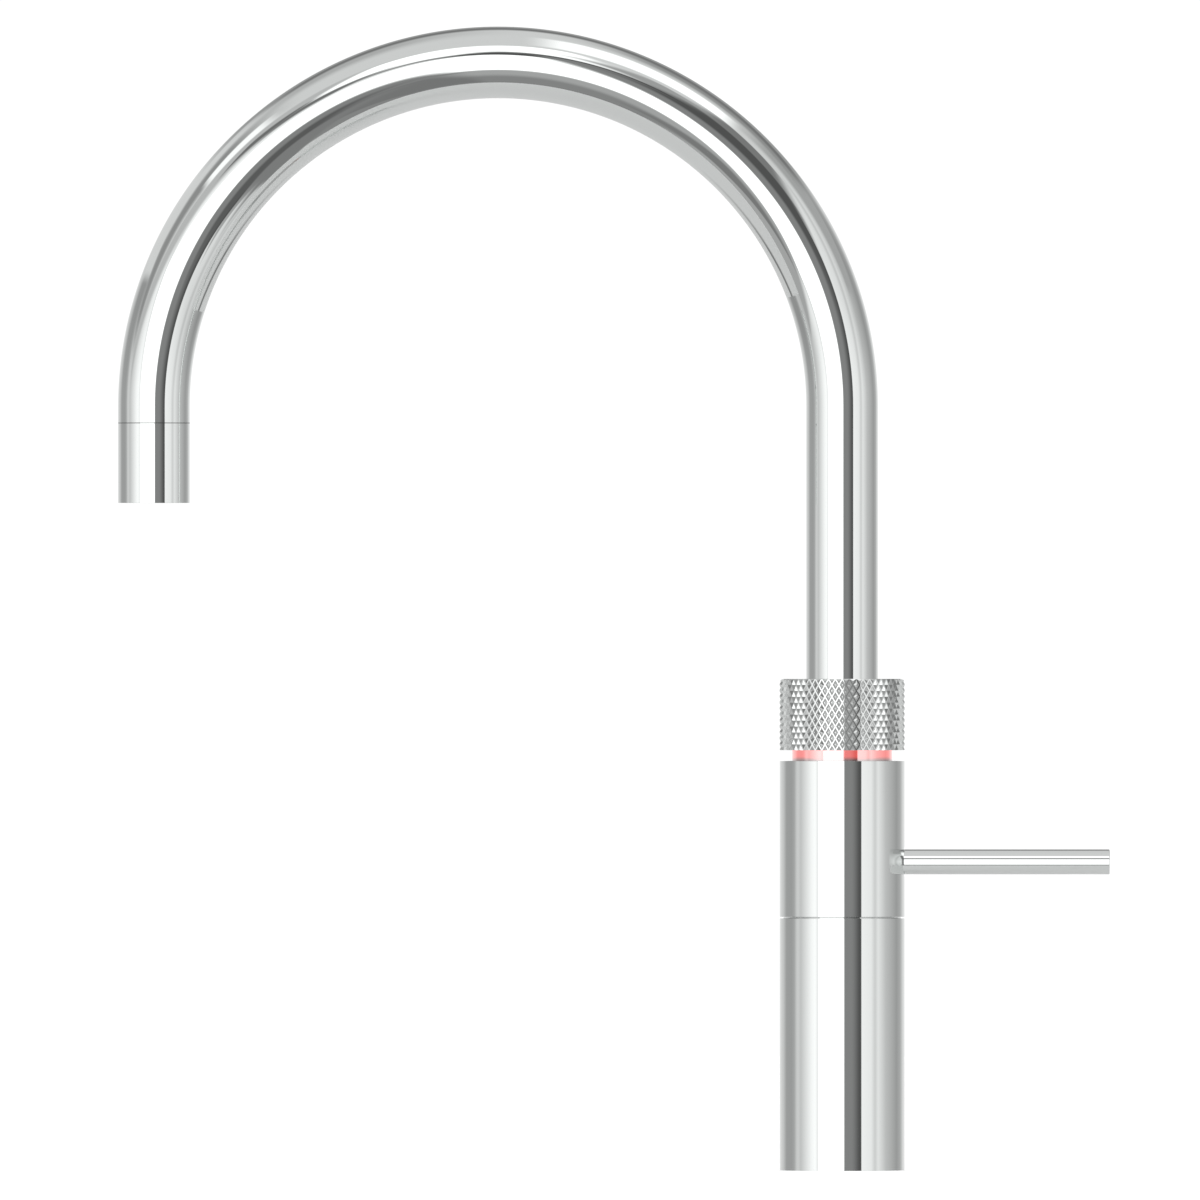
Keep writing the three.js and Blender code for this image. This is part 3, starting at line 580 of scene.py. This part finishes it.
light_finish, tree, shader = new_material("lit_ring")
shader.inputs["Base Color"].default_value = (*RING_TONE, 1)
shader.inputs["Metallic"].default_value = 1.0
shader.inputs["Emission Color"].default_value = (*RING_GLOW, 1)
height = split_xyz(tree, add_node(tree, "ShaderNodeTexCoord").outputs["Object"])[2]
sleeve_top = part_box("mixer_sleeve")[1][2]
glow = map_range(tree, height, sleeve_top, sleeve_top + GLOW_FADE, 0.0, GLOW_STRENGTH,
                 curve="SMOOTHSTEP")
tree.links.new(glow, shader.inputs["Emission Strength"])
vary_gloss(tree, shader, noise(tree, RING_GRAIN), RING_ROUGHNESS)
print(f"glow from {1000 * sleeve_top:.1f} mm up")

# %% [markdown]
# Brass and steel are duller than chrome. Their marks run round the axis as fine rings, so their
# noise is squeezed along Z. Rubber, ceramic and plastic differ in tone, gloss and grain only.

# %% Other finishes
TURNED_MARKS = (1, 1, 14)
DRAWN_MARKS = (1, 1, 8)

finishes = {
    "chrome": chrome,
    "red_light": light_finish,
    "brass": surface("turned_brass", (0.62, 0.45, 0.19), (0.84, 0.66, 0.33), (0.22, 0.42),
                     metallic=1.0, grain=160, stretch=TURNED_MARKS),
    "steel": surface("drawn_steel", (0.48, 0.49, 0.50), (0.68, 0.69, 0.70), (0.2, 0.4),
                     metallic=1.0, grain=220, stretch=DRAWN_MARKS),
    "black_rubber": surface("black_rubber", (0.012, 0.012, 0.013), (0.032, 0.032, 0.034),
                            (0.6, 0.85), grain=900, depth=0.05),
    "white_ceramic": surface("lapped_ceramic", (0.84, 0.82, 0.78), (0.92, 0.90, 0.87),
                             (0.12, 0.3), grain=500, depth=0.005),
    "white_plastic": surface("white_plastic", (0.78, 0.77, 0.74), (0.86, 0.85, 0.82),
                             (0.4, 0.55), grain=700),
    "dark_plastic": surface("dark_plastic", (0.03, 0.032, 0.035), (0.055, 0.058, 0.062),
                            (0.4, 0.55), grain=700),
    "circuit_board": surface("circuit_board", (0.01, 0.16, 0.06), (0.03, 0.27, 0.10),
                             (0.3, 0.45), grain=300),
    "magnet": surface("plated_magnet", (0.36, 0.37, 0.39), (0.5, 0.51, 0.53), (0.15, 0.3),
                      metallic=1.0, grain=300),
}
print("finishes:", ", ".join(finishes))

# %% [markdown]
# ## The inner pieces
#
# The valve, the discs, the rings and the brass body are hidden in the column. Their solids are
# right as they are, so they only get their finish. The record says which slot each one takes.

# %% Finish the carried-over nodes
for row in frame["record"]["subparts"]:
    node = frame["nodes"][row["node"]]
    node.data.materials.clear()
    node.data.materials.append(finishes[row["material_slot"]])
print(len(frame["nodes"]), "nodes finished")

# %% [markdown]
# ## Sizes from the frame
#
# Each new piece is measured on the node that it stands for, so it can't drift from the model.

# %% Measure the nodes
def measure(node):
    low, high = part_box(node)
    return {"low": low, "high": high, "bottom": low[2], "top": high[2],
            "radius": (high[1] - low[1]) / 2}


base = measure("base_sleeve")
mixer = measure("mixer_sleeve")
knob = measure("knurled_knob")
light = measure("light_ring")
spout = measure("spout_tube")
outlet = measure("nozzle")
rod = measure("lever")
print(f"column {base['radius'] * 2000:.1f} mm across, spout {spout['high'][2] * 1000:.1f} mm high")

# %% [markdown]
# ## The two sleeves
#
# The column is two plain tubes with a fine seam between them. A tube's rims are eased by less
# than a tenth of a millimetre, so that the seam stays a thin line.

# %% Base sleeve
SLEEVE_WALL = 1.2 * MM
SLEEVE_SIDES = 256
SLEEVE_EASE = 0.03 * MM


def plain_ring(name, size, bore, sides):
    return turned(name, tube_profile(size["radius"], bore, size["bottom"], size["top"]), sides)


base_shell = plain_ring("base_shell", base, base["radius"] - SLEEVE_WALL, SLEEVE_SIDES)
ease_edges(base_shell, SLEEVE_EASE)
dress(base_shell, chrome, "column", "chrome", "base_sleeve")

# %% [markdown]
# The mixer sleeve has a round hole for the lever. It is drilled before the edges are eased, so
# that the rim of the hole is eased too.

# %% Mixer sleeve with its hole
LEVER_HOLE_RADIUS = 5.0 * MM
LEVER_DRILL_LENGTH = 12 * MM
LEVER_HOLE_SIDES = 96
ALONG_X = (0, math.pi / 2, 0)

lever_height = (rod["bottom"] + rod["top"]) / 2
mixer_shell = plain_ring("mixer_shell", mixer, mixer["radius"] - SLEEVE_WALL, SLEEVE_SIDES)
drill(mixer_shell, LEVER_HOLE_RADIUS, LEVER_DRILL_LENGTH, (mixer["radius"], 0, lever_height),
      ALONG_X, LEVER_HOLE_SIDES)
ease_edges(mixer_shell, SLEEVE_EASE)
dress(mixer_shell, chrome, "mixer", "chrome", "mixer_sleeve")

# %% [markdown]
# ## The seam and the light ring
#
# A bright washer lies in the seam, so that the seam shows as little more than a fine shadow.
# Above the mixer sleeve the light ring stands between the sleeve and the knob, four millimetres
# further in than both.

# %% Washer and ring
WASHER_WIDTH = 2.8 * MM
WASHER_EASE = 0.05 * MM
LIGHT_WALL = 1.0 * MM
LIGHT_EASE = 0.1 * MM
RING_SIDES = 192

washer_size = measure("glide_washer")
washer = plain_ring("seam_washer", washer_size, washer_size["radius"] - WASHER_WIDTH, RING_SIDES)
ease_edges(washer, WASHER_EASE)
dress(washer, chrome, "column", "chrome", "glide_washer")

glow_ring = plain_ring("glow_ring", light, light["radius"] - LIGHT_WALL, RING_SIDES)
ease_edges(glow_ring, LIGHT_EASE)
dress(glow_ring, light_finish, "column", "red_light", "light_ring")

# %% [markdown]
# ## The knurled knob
#
# A diamond knurl is two sets of grooves that cross, and what is left between them are small
# pyramids. Modelling one pyramid and copying it over the ring would leave gaps between copies.
# Instead the cylinder's own grid is used: every other corner of it is a peak, and the rest are
# groove crossings. Connecting the groove corners across each face draws the grooves, and
# pushing those corners inwards cuts them, with flanks at 45 degrees as a knurling wheel leaves
# them. Spare rows above and below the knob make sure that the pattern runs out at its ends.

# %% Knurled bar
KNURL_COUNT = 54
KNURL_HALF_ROWS = 12
SPARE_ROWS = 2
PEAK_HALF_WIDTH = 0.13 * MM

row_height = (knob["top"] - knob["bottom"]) / KNURL_HALF_ROWS
column_width = math.pi * knob["radius"] / KNURL_COUNT
flank_run = row_height * column_width / math.hypot(row_height, column_width)
peak_radius = knob["radius"] + PEAK_HALF_WIDTH
groove_radius = peak_radius - flank_run


def select_vertices(piece, is_wanted):
    bpy.ops.object.mode_set(mode="EDIT")
    bpy.ops.mesh.select_mode(type="VERT")
    bpy.ops.mesh.select_all(action="DESELECT")
    bpy.ops.object.mode_set(mode="OBJECT")
    for vertex in piece.data.vertices:
        vertex.select = is_wanted(vertex.co)
    bpy.ops.object.mode_set(mode="EDIT")


def is_groove(place):
    column = round(math.atan2(place.y, place.x) / math.pi * KNURL_COUNT)
    row = round((place.z - knob["bottom"]) / row_height)
    return (column + row) % 2 == 1


rows = range(-SPARE_ROWS, KNURL_HALF_ROWS + SPARE_ROWS + 1)
knurled_bar = turned("knurled_bar", [(peak_radius, knob["bottom"] + row * row_height)
                                     for row in rows], 2 * KNURL_COUNT, ends="open")
select_vertices(knurled_bar, is_groove)
bpy.ops.mesh.vert_connect()
inwards = groove_radius / peak_radius
bpy.ops.transform.resize(value=(inwards, inwards, 1), center_override=(0, 0, 0))
print(f"grooves {1000 * (peak_radius - groove_radius):.2f} mm deep to their sharp bottom")

# %% [markdown]
# The grooves now meet in a sharp V. A bevel without rounding turns each of them into a groove
# with a flat floor, which is what catches the light as a bright lattice in the photograph.

# %% Flat floors in the grooves
GROOVE_HALF_WIDTH = 0.19 * MM

bpy.ops.mesh.select_mode(type="EDGE")
bpy.ops.mesh.bevel(offset=GROOVE_HALF_WIDTH * math.sqrt(2), segments=1, affect="EDGES",
                   clamp_overlap=False)
bpy.ops.mesh.select_all(action="SELECT")
bpy.ops.mesh.fill_holes(sides=0)
face_outwards()
print(len(knurled_bar.data.polygons), "faces on the knurled bar")

# %% [markdown]
# The rest of the knob is turned: a chamfer at the top, the hole for the spout, and inside it a
# flange for the spring and the clip, with a drilled seat for the magnet.

# %% Turned blank of the knob
KNOB_CHAMFER = 0.8 * MM
KNOB_FOOT_CHAMFER = 0.25 * MM
SKIRT_BORE = 16.4 * MM
WEB_BORE = 11.9 * MM
WEB_THICKNESS = 2.8 * MM
WEB_EASE = 0.3 * MM
FLANGE_BORE = 15.5 * MM
FLANGE_HEIGHT = 3.5 * MM
CLIP_BORE = 16.6 * MM
BLANK_SIDES = 8 * KNURL_COUNT

web_bottom = knob["top"] - WEB_THICKNESS
magnet = measure("sensor_magnet")
magnet_height = (magnet["bottom"] + magnet["top"]) / 2
flange_bottom = magnet_height - FLANGE_HEIGHT / 2
flange_top = magnet_height + FLANGE_HEIGHT / 2
knurled_ring = turned("knurled_ring", [
    (knob["radius"] - KNOB_FOOT_CHAMFER, knob["bottom"]),
    (knob["radius"], knob["bottom"] + KNOB_FOOT_CHAMFER),
    (knob["radius"], knob["top"] - KNOB_CHAMFER), (knob["radius"] - KNOB_CHAMFER, knob["top"]),
    (WEB_BORE + WEB_EASE, knob["top"]), (WEB_BORE, knob["top"] - WEB_EASE),
    (WEB_BORE, web_bottom), (CLIP_BORE, web_bottom), (CLIP_BORE, flange_top),
    (FLANGE_BORE, flange_top), (FLANGE_BORE, flange_bottom), (SKIRT_BORE, flange_bottom),
    (SKIRT_BORE, knob["bottom"])], BLANK_SIDES)
print(f"flange from {1000 * flange_bottom:.1f} to {1000 * flange_top:.1f} mm")

# %% [markdown]
# What the turned blank and the knurled bar have in common is the knob. That one cut also takes
# the tips off the pyramids and lets the grooves run out in the chamfer, as on a lathe.

# %% Knob
MAGNET_HOLE_RADIUS = 1.3 * MM
MAGNET_HOLE_DEPTH = 2.6 * MM
MAGNET_HOLE_SIDES = 24
KNURL_CREASE = 20
ALONG_Y = (math.pi / 2, 0, 0)

drill(knurled_ring, MAGNET_HOLE_RADIUS, 2 * MAGNET_HOLE_DEPTH, (0, -FLANGE_BORE, magnet_height),
      ALONG_Y, MAGNET_HOLE_SIDES)
combine(knurled_ring, knurled_bar, "INTERSECT")
ease_edges(knurled_ring, 0, angle=KNURL_CREASE)
dress(knurled_ring, knurl_chrome, "knob", "chrome", "knurled_knob")

# %% [markdown]
# ## The return spring
#
# A spring inside the knob pushes it up again. The screw modifier winds it like a coil on a
# mandrel: a small circle, the section of the wire, goes three times round while it climbs. A rigid
# coil would be cut by the flange when the knob is pushed in, and this coil stays rigid.

# %% Return spring
WIRE_RADIUS = 0.4 * MM
WIRE_SIDES = 12
SPRING_TURNS = 3
SPRING_STEPS = 48

coil = measure("return_spring")
coil_height = coil["top"] - coil["bottom"]
wire_start = (coil["radius"] - WIRE_RADIUS, 0, coil["bottom"] + WIRE_RADIUS)
wound_spring = start_circle("wound_spring", WIRE_SIDES, WIRE_RADIUS, wire_start, turn=ALONG_Y)
apply_modifier(wound_spring, "SCREW", angle=2 * math.pi, iterations=SPRING_TURNS,
               screw_offset=(coil_height - 2 * WIRE_RADIUS) / SPRING_TURNS,
               steps=SPRING_STEPS, render_steps=SPRING_STEPS)
edit_all()
merge_corners()
bpy.ops.mesh.fill_holes(sides=0)
face_outwards()
ease_edges(wound_spring, 0)
dress(wound_spring, finishes["steel"], "drive", "steel", "return_spring")
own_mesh(wound_spring)

# %% [markdown]
# ## The spout
#
# The spout is one bent pipe. On the bench it would be drawn round a former, and in Blender the
# spin tool does just that: a circle is raised to the start of the bend, spun half a turn about
# the middle of the arch, and drawn down again. The pipe's wall is added afterwards. The pipe ends
# a hair above the nozzle, so that a thin seam is left between them.

# %% Spout pipe
SPOUT_SIDES = 128
ARCH_STEPS = 160
SPOUT_WALL = 1.0 * MM
SPOUT_EASE = 0.05 * MM
SPIGOT_HEIGHT = 5.0 * MM
SEAM_ABOVE_NOZZLE = 0.1 * MM

outlet_top = outlet["top"] - SPIGOT_HEIGHT + SEAM_ABOVE_NOZZLE
reach = spout["high"][0] - spout["low"][0] - 2 * spout["radius"]
arch_height = spout["top"] - spout["radius"] - reach / 2
pipe = start_circle("spout_pipe", SPOUT_SIDES, spout["radius"], (0, 0, spout["bottom"]))
edit_all()
extrude_up(arch_height - spout["bottom"])
bpy.ops.mesh.spin(steps=ARCH_STEPS, angle=math.pi, center=(-reach / 2, 0, arch_height),
                  axis=(0, 1, 0))
extrude_up(outlet_top - arch_height)
merge_corners()
face_outwards()
apply_modifier(pipe, "SOLIDIFY", thickness=SPOUT_WALL, offset=-1)
ease_edges(pipe, SPOUT_EASE, segments=2)
dress(pipe, chrome, "spout", "chrome", "spout_tube")

# %% [markdown]
# ## The nozzle
#
# The nozzle is the separate end of the spout. It is a tube of the same width, with a narrower
# spigot that screws into the pipe, a hair-thin seam above it, a small rounding on the lower rim,
# and a ledge inside that holds the insert. It is turned on the lathe's axis and then moved to
# the end of the spout.

# %% Nozzle
NOZZLE_SIDES = 128
NOZZLE_WALL = 1.2 * MM
NOZZLE_EASE = 0.05 * MM
SPIGOT_RADIUS = 10.2 * MM
SPIGOT_BORE = 8.9 * MM
LEDGE_DEPTH = 9.0 * MM
SEAM_BELOW_PIPE = 0.06 * MM

nozzle_top = outlet["top"] - SPIGOT_HEIGHT - SEAM_BELOW_PIPE
nozzle_bore = outlet["radius"] - NOZZLE_WALL
nozzle_middle = (outlet["low"][0] + outlet["high"][0]) / 2
ledge = outlet["bottom"] + LEDGE_DEPTH
nozzle = turned("nozzle_shell", [
    (outlet["radius"], outlet["bottom"]), (outlet["radius"], nozzle_top),
    (SPIGOT_RADIUS, nozzle_top), (SPIGOT_RADIUS, outlet["top"]), (SPIGOT_BORE, outlet["top"]),
    (SPIGOT_BORE, ledge), (nozzle_bore, ledge), (nozzle_bore, outlet["bottom"])], NOZZLE_SIDES)
nozzle.location.x = nozzle_middle
settle(nozzle)
ease_edges(nozzle, NOZZLE_EASE, segments=2)
dress(nozzle, chrome, "spout", "chrome", "nozzle")

# %% [markdown]
# What shows of the seam is a hair-thin dark gasket, which lies between the two ends.

# %% Seam gasket
GASKET_INSET = 0.04 * MM

gasket_radius = outlet["radius"] - GASKET_INSET
seam_gasket = turned("seam_gasket", tube_profile(gasket_radius, SPIGOT_RADIUS, nozzle_top,
                                                 outlet_top), NOZZLE_SIDES)
seam_gasket.location.x = nozzle_middle
settle(seam_gasket)
ease_edges(seam_gasket, 0)
dress(seam_gasket, finishes["black_rubber"], "spout", "black_rubber")

# %% [markdown]
# ## The lever
#
# The lever is a plain rod with a crisp flat end. Inside the sleeve it swells to a ball, and a
# thin stem reaches on to the flow spindle. It is turned upright along Z, then laid along +X.

# %% Lever
LEVER_RADIUS = 4.0 * MM
BALL_RADIUS = 4.6 * MM
STEM_RADIUS = 2.0 * MM
TIP_CHAMFER = 0.15 * MM
PIVOT_INSET = 2.5 * MM
LEVER_SIDES = 96
BALL_STEPS = 16

pivot = mixer["radius"] - PIVOT_INSET
stem_end = rod["low"][0] - pivot
tip = rod["high"][0] - pivot
from_angle = math.pi - math.asin(STEM_RADIUS / BALL_RADIUS)
to_angle = math.asin(LEVER_RADIUS / BALL_RADIUS)
ball_angles = [from_angle + (to_angle - from_angle) * step / BALL_STEPS
               for step in range(BALL_STEPS + 1)]
profile = [(STEM_RADIUS - TIP_CHAMFER, stem_end), (STEM_RADIUS, stem_end + TIP_CHAMFER)]
profile += [(BALL_RADIUS * math.sin(a), BALL_RADIUS * math.cos(a)) for a in ball_angles]
profile += [(LEVER_RADIUS, tip - TIP_CHAMFER), (LEVER_RADIUS - TIP_CHAMFER, tip)]
lever = turned("lever_rod", profile, LEVER_SIDES, ends="capped")
lever.rotation_euler = ALONG_X
lever.location = (pivot, 0, lever_height)
settle(lever)
ease_edges(lever, 0)
dress(lever, chrome, "lever", "chrome", "lever")

# %% [markdown]
# ## Below the worktop
#
# What clamps the tap is out of sight in the photograph, but it shows from below: a threaded
# brass shank, a rubber gasket, a steel washer and a hexagon nut. A thread is a groove that climbs
# one pitch in each turn, so the shank starts as a tube with many rings, and each corner moves
# in by its height and its angle taken together. The lowest turn starts at half the depth.

# %% Threaded shank
THREAD_PITCH = 1.5 * MM
THREAD_DEPTH = 0.8 * MM
THREAD_START = 0.5
RINGS_PER_PITCH = 6
THREAD_SIDES = 72
SHANK_BORE = 11.5 * MM
SHANK_PLAIN = 12 * MM
SHANK_CREASE = 50

shank_size = measure("threaded_shank")
shank_radius = shank_size["radius"]
wall_middle = (shank_radius + SHANK_BORE) / 2
thread_top = -SHANK_PLAIN
ring_step = THREAD_PITCH / RINGS_PER_PITCH
thread_rings = int((thread_top - shank_size["bottom"]) / ring_step)
profile = [(shank_radius, shank_size["bottom"] + ring * ring_step)
           for ring in range(thread_rings + 1)]
profile += [(shank_radius, shank_size["top"]), (SHANK_BORE, shank_size["top"]),
            (SHANK_BORE, shank_size["bottom"])]
shank = turned("shank", profile, THREAD_SIDES)
for vertex in shank.data.vertices:
    place = vertex.co
    if place.z < thread_top and math.hypot(place.x, place.y) > wall_middle:
        turn = math.atan2(place.y, place.x) / (2 * math.pi)
        climb = (place.z / THREAD_PITCH - turn) % 1
        fade = min(1, (place.z - shank_size["bottom"]) / THREAD_PITCH + THREAD_START)
        scale = 1 - THREAD_DEPTH * abs(2 * climb - 1) * fade / shank_radius
        place.x *= scale
        place.y *= scale
ease_edges(shank, 0, angle=SHANK_CREASE)
dress(shank, finishes["brass"], "column", "brass", "threaded_shank")

# %% [markdown]
# The rubber gasket grips the worktop from below, and the steel washer under it spreads the nut's
# force. Both are plain rings that slip over the shank.

# %% Gasket and washer
SHANK_CLEARANCE = 0.3 * MM
GASKET_EASE = 0.4 * MM
PLATE_EASE = 0.25 * MM
CLAMP_SIDES = 128

shank_hole = shank_radius + SHANK_CLEARANCE
for name, node, finish, ease in (("gasket", "clamp_gasket", "black_rubber", GASKET_EASE),
                                 ("washer_plate", "clamp_washer", "steel", PLATE_EASE)):
    clamp_ring = plain_ring(name, measure(node), shank_hole, CLAMP_SIDES)
    ease_edges(clamp_ring, ease)
    dress(clamp_ring, finishes[finish], "column", finish, node)

# %% [markdown]
# The nut is a six-sided block, and its corners are turned off at both ends. Cutting it with a
# turned shape that tapers at both ends gives the curved edges that every hexagon nut has.

# %% Nut
NUT_SIDES = 6
NUT_TAPER = 1.4 * MM
NUT_FACE_SHARE = 0.97
NUT_EASE = 0.08 * MM
TAPER_SIDES = 96

nut_size = measure("fixing_nut")
flat = nut_size["radius"]
corner = flat / math.cos(math.pi / NUT_SIDES)
face = flat * NUT_FACE_SHARE
nut = turned("hexagon_nut", tube_profile(corner, shank_hole, nut_size["bottom"],
                                         nut_size["top"]), NUT_SIDES)
nut.rotation_euler.z = math.pi / 2
settle(nut)
taper = turned("taper", [
    (face, nut_size["bottom"]), (corner, nut_size["bottom"] + NUT_TAPER),
    (corner, nut_size["top"] - NUT_TAPER), (face, nut_size["top"]),
    (shank_hole, nut_size["top"]), (shank_hole, nut_size["bottom"])], TAPER_SIDES)
combine(nut, taper, "INTERSECT")
ease_edges(nut, NUT_EASE, segments=1)
dress(nut, finishes["brass"], "column", "brass", "fixing_nut")

# %% [markdown]
# Three inlets hang side by side in the top of the shank. Each is a plain brass tube with a ribbed
# collar at its lower end, where the hose grips it. A rib has a flat top and slopes down to both
# sides, so the profile steps from rib to rib in a loop.

# %% Inlets
INLET_BORE = 2.0 * MM
INLET_RADIUS = 3.0 * MM
INLET_SIDES = 64
INLET_EASE = 0.05 * MM
COLLAR_HEIGHT = 4.0 * MM
COLLAR_RIBS = 4
RIB_ROOT_SHARE = 0.92
RIB_TOP_SHARES = (0.35, 0.65)

rib = COLLAR_HEIGHT / COLLAR_RIBS
for node in ("hot_inlet", "boiling_inlet", "cold_inlet"):
    size = measure(node)
    root = size["radius"] * RIB_ROOT_SHARE
    collar_top = size["bottom"] + COLLAR_HEIGHT
    profile = [(INLET_BORE, size["bottom"])]
    for index in range(COLLAR_RIBS):
        start = size["bottom"] + index * rib
        profile += [(root, start)]
        profile += [(size["radius"], start + rib * share) for share in RIB_TOP_SHARES]
    profile += [(root, collar_top), (INLET_RADIUS, collar_top),
                (INLET_RADIUS, size["top"]), (INLET_BORE, size["top"])]
    nipple = turned(node.replace("inlet", "nipple"), profile, INLET_SIDES)
    nipple.location.x = (size["low"][0] + size["high"][0]) / 2
    settle(nipple)
    ease_edges(nipple, INLET_EASE, segments=1)
    dress(nipple, finishes["brass"], "column", "brass", node)

# %% [markdown]
# ## Floor and table
#
# The tap stands on a plain pale floor. The chrome, however, should see a table that ends not far
# in front of the tap, with the darker room below its edge: that is the grey band on the
# underside of the arch. So the camera sees one sheet, and the reflections see another. The floor
# is clear from below, so that a look from there shows what clamps the tap.

# %% Sheet helpers
SHEET_WHITE = 0.9


def sheet_material(name, glow):
    material, tree, shader = new_material(name)
    shader.inputs["Base Color"].default_value = (SHEET_WHITE,) * 3 + (1,)
    shader.inputs["Roughness"].default_value = 1.0
    shader.inputs["Specular IOR Level"].default_value = 0.0
    shader.inputs["Emission Color"].default_value = (1, 1, 1, 1)
    shader.inputs["Emission Strength"].default_value = glow
    return material, tree, shader


def clear_where(tree, shader, factor):
    """Lets a sheet vanish where the factor is 1."""
    clear = add_node(tree, "ShaderNodeBsdfTransparent")
    swap_surface(tree, shader, factor, clear.outputs[0])


# %% Floor
FLOOR_SIZE = 8.0
FLOOR_GLOW = 0.5

clear_selection()
bpy.ops.mesh.primitive_plane_add(size=FLOOR_SIZE)
floor = bpy.context.object
floor.name = "floor"
floor.visible_glossy = False
floor.visible_diffuse = False
floor_finish, tree, shader = sheet_material("floor", FLOOR_GLOW)
clear_where(tree, shader, add_node(tree, "ShaderNodeNewGeometry").outputs["Backfacing"])
floor.data.materials.append(floor_finish)
print(f"floor {FLOOR_SIZE:.0f} m wide")

# %% [markdown]
# Behind the tap a soft shadow lies across the table, and the chrome's rims pick it up. It is a
# band that is darkest in its middle and fades out to the front and the back, and a ramp makes it
# stronger towards both sides.

# %% Table shade
SHADE_MIDDLE = (-0.11, 0.36)
SHADE_DEPTH = 0.14
SHADE_SIDES = (0.20, 0.44)
SHADE_STRENGTH = 0.75


def table_shade(tree):
    place = add_node(tree, "ShaderNodeTexCoord").outputs["Object"]
    x, y, _ = split_xyz(tree, place)
    aside = math_node(tree, "ABSOLUTE", math_node(tree, "SUBTRACT", x, SHADE_MIDDLE[0]))
    behind = math_node(tree, "ABSOLUTE", math_node(tree, "SUBTRACT", y, SHADE_MIDDLE[1]))
    side = map_range(tree, aside, *SHADE_SIDES)
    band = map_range(tree, behind, 0.0, SHADE_DEPTH, SHADE_STRENGTH, 0.0, curve="SMOOTHSTEP")
    dark = math_node(tree, "MULTIPLY", side, band)
    return grey(tree, math_node(tree, "MULTIPLY_ADD", dark, -SHEET_WHITE, SHEET_WHITE))


print(f"shadow {2000 * SHADE_DEPTH:.0f} mm deep")

# %% [markdown]
# The table glows a little, as if lit by the lamps. Its edge is what matters, so each side has its
# own distance from the tap. It vanishes where it is seen edge on.

# %% Table
TABLE_FRONT = 0.147
TABLE_LEFT = 0.775
TABLE_RIGHT = 0.667
TABLE_BACK = 2.5
TABLE_BELOW = 0.3 * MM
TABLE_GLOW = 0.075
GRAZING = (0.90, 0.97)

clear_selection()
bpy.ops.mesh.primitive_plane_add(size=1, location=(
    (TABLE_RIGHT - TABLE_LEFT) / 2, (TABLE_BACK - TABLE_FRONT) / 2, -TABLE_BELOW))
table = bpy.context.object
table.name = "table"
table.scale = (TABLE_LEFT + TABLE_RIGHT, TABLE_FRONT + TABLE_BACK, 1)
settle(table)
table.visible_camera = False
table_finish, tree, shader = sheet_material("table", TABLE_GLOW)
shade = table_shade(tree)
tree.links.new(shade, shader.inputs["Base Color"])
tree.links.new(shade, shader.inputs["Emission Color"])
facing = add_node(tree, "ShaderNodeLayerWeight", {"Blend": 0.5}).outputs["Facing"]
clear_where(tree, shader, map_range(tree, facing, *GRAZING))
table.data.materials.append(table_finish)
print(f"table ends {1000 * TABLE_FRONT:.0f} mm in front of the tap")
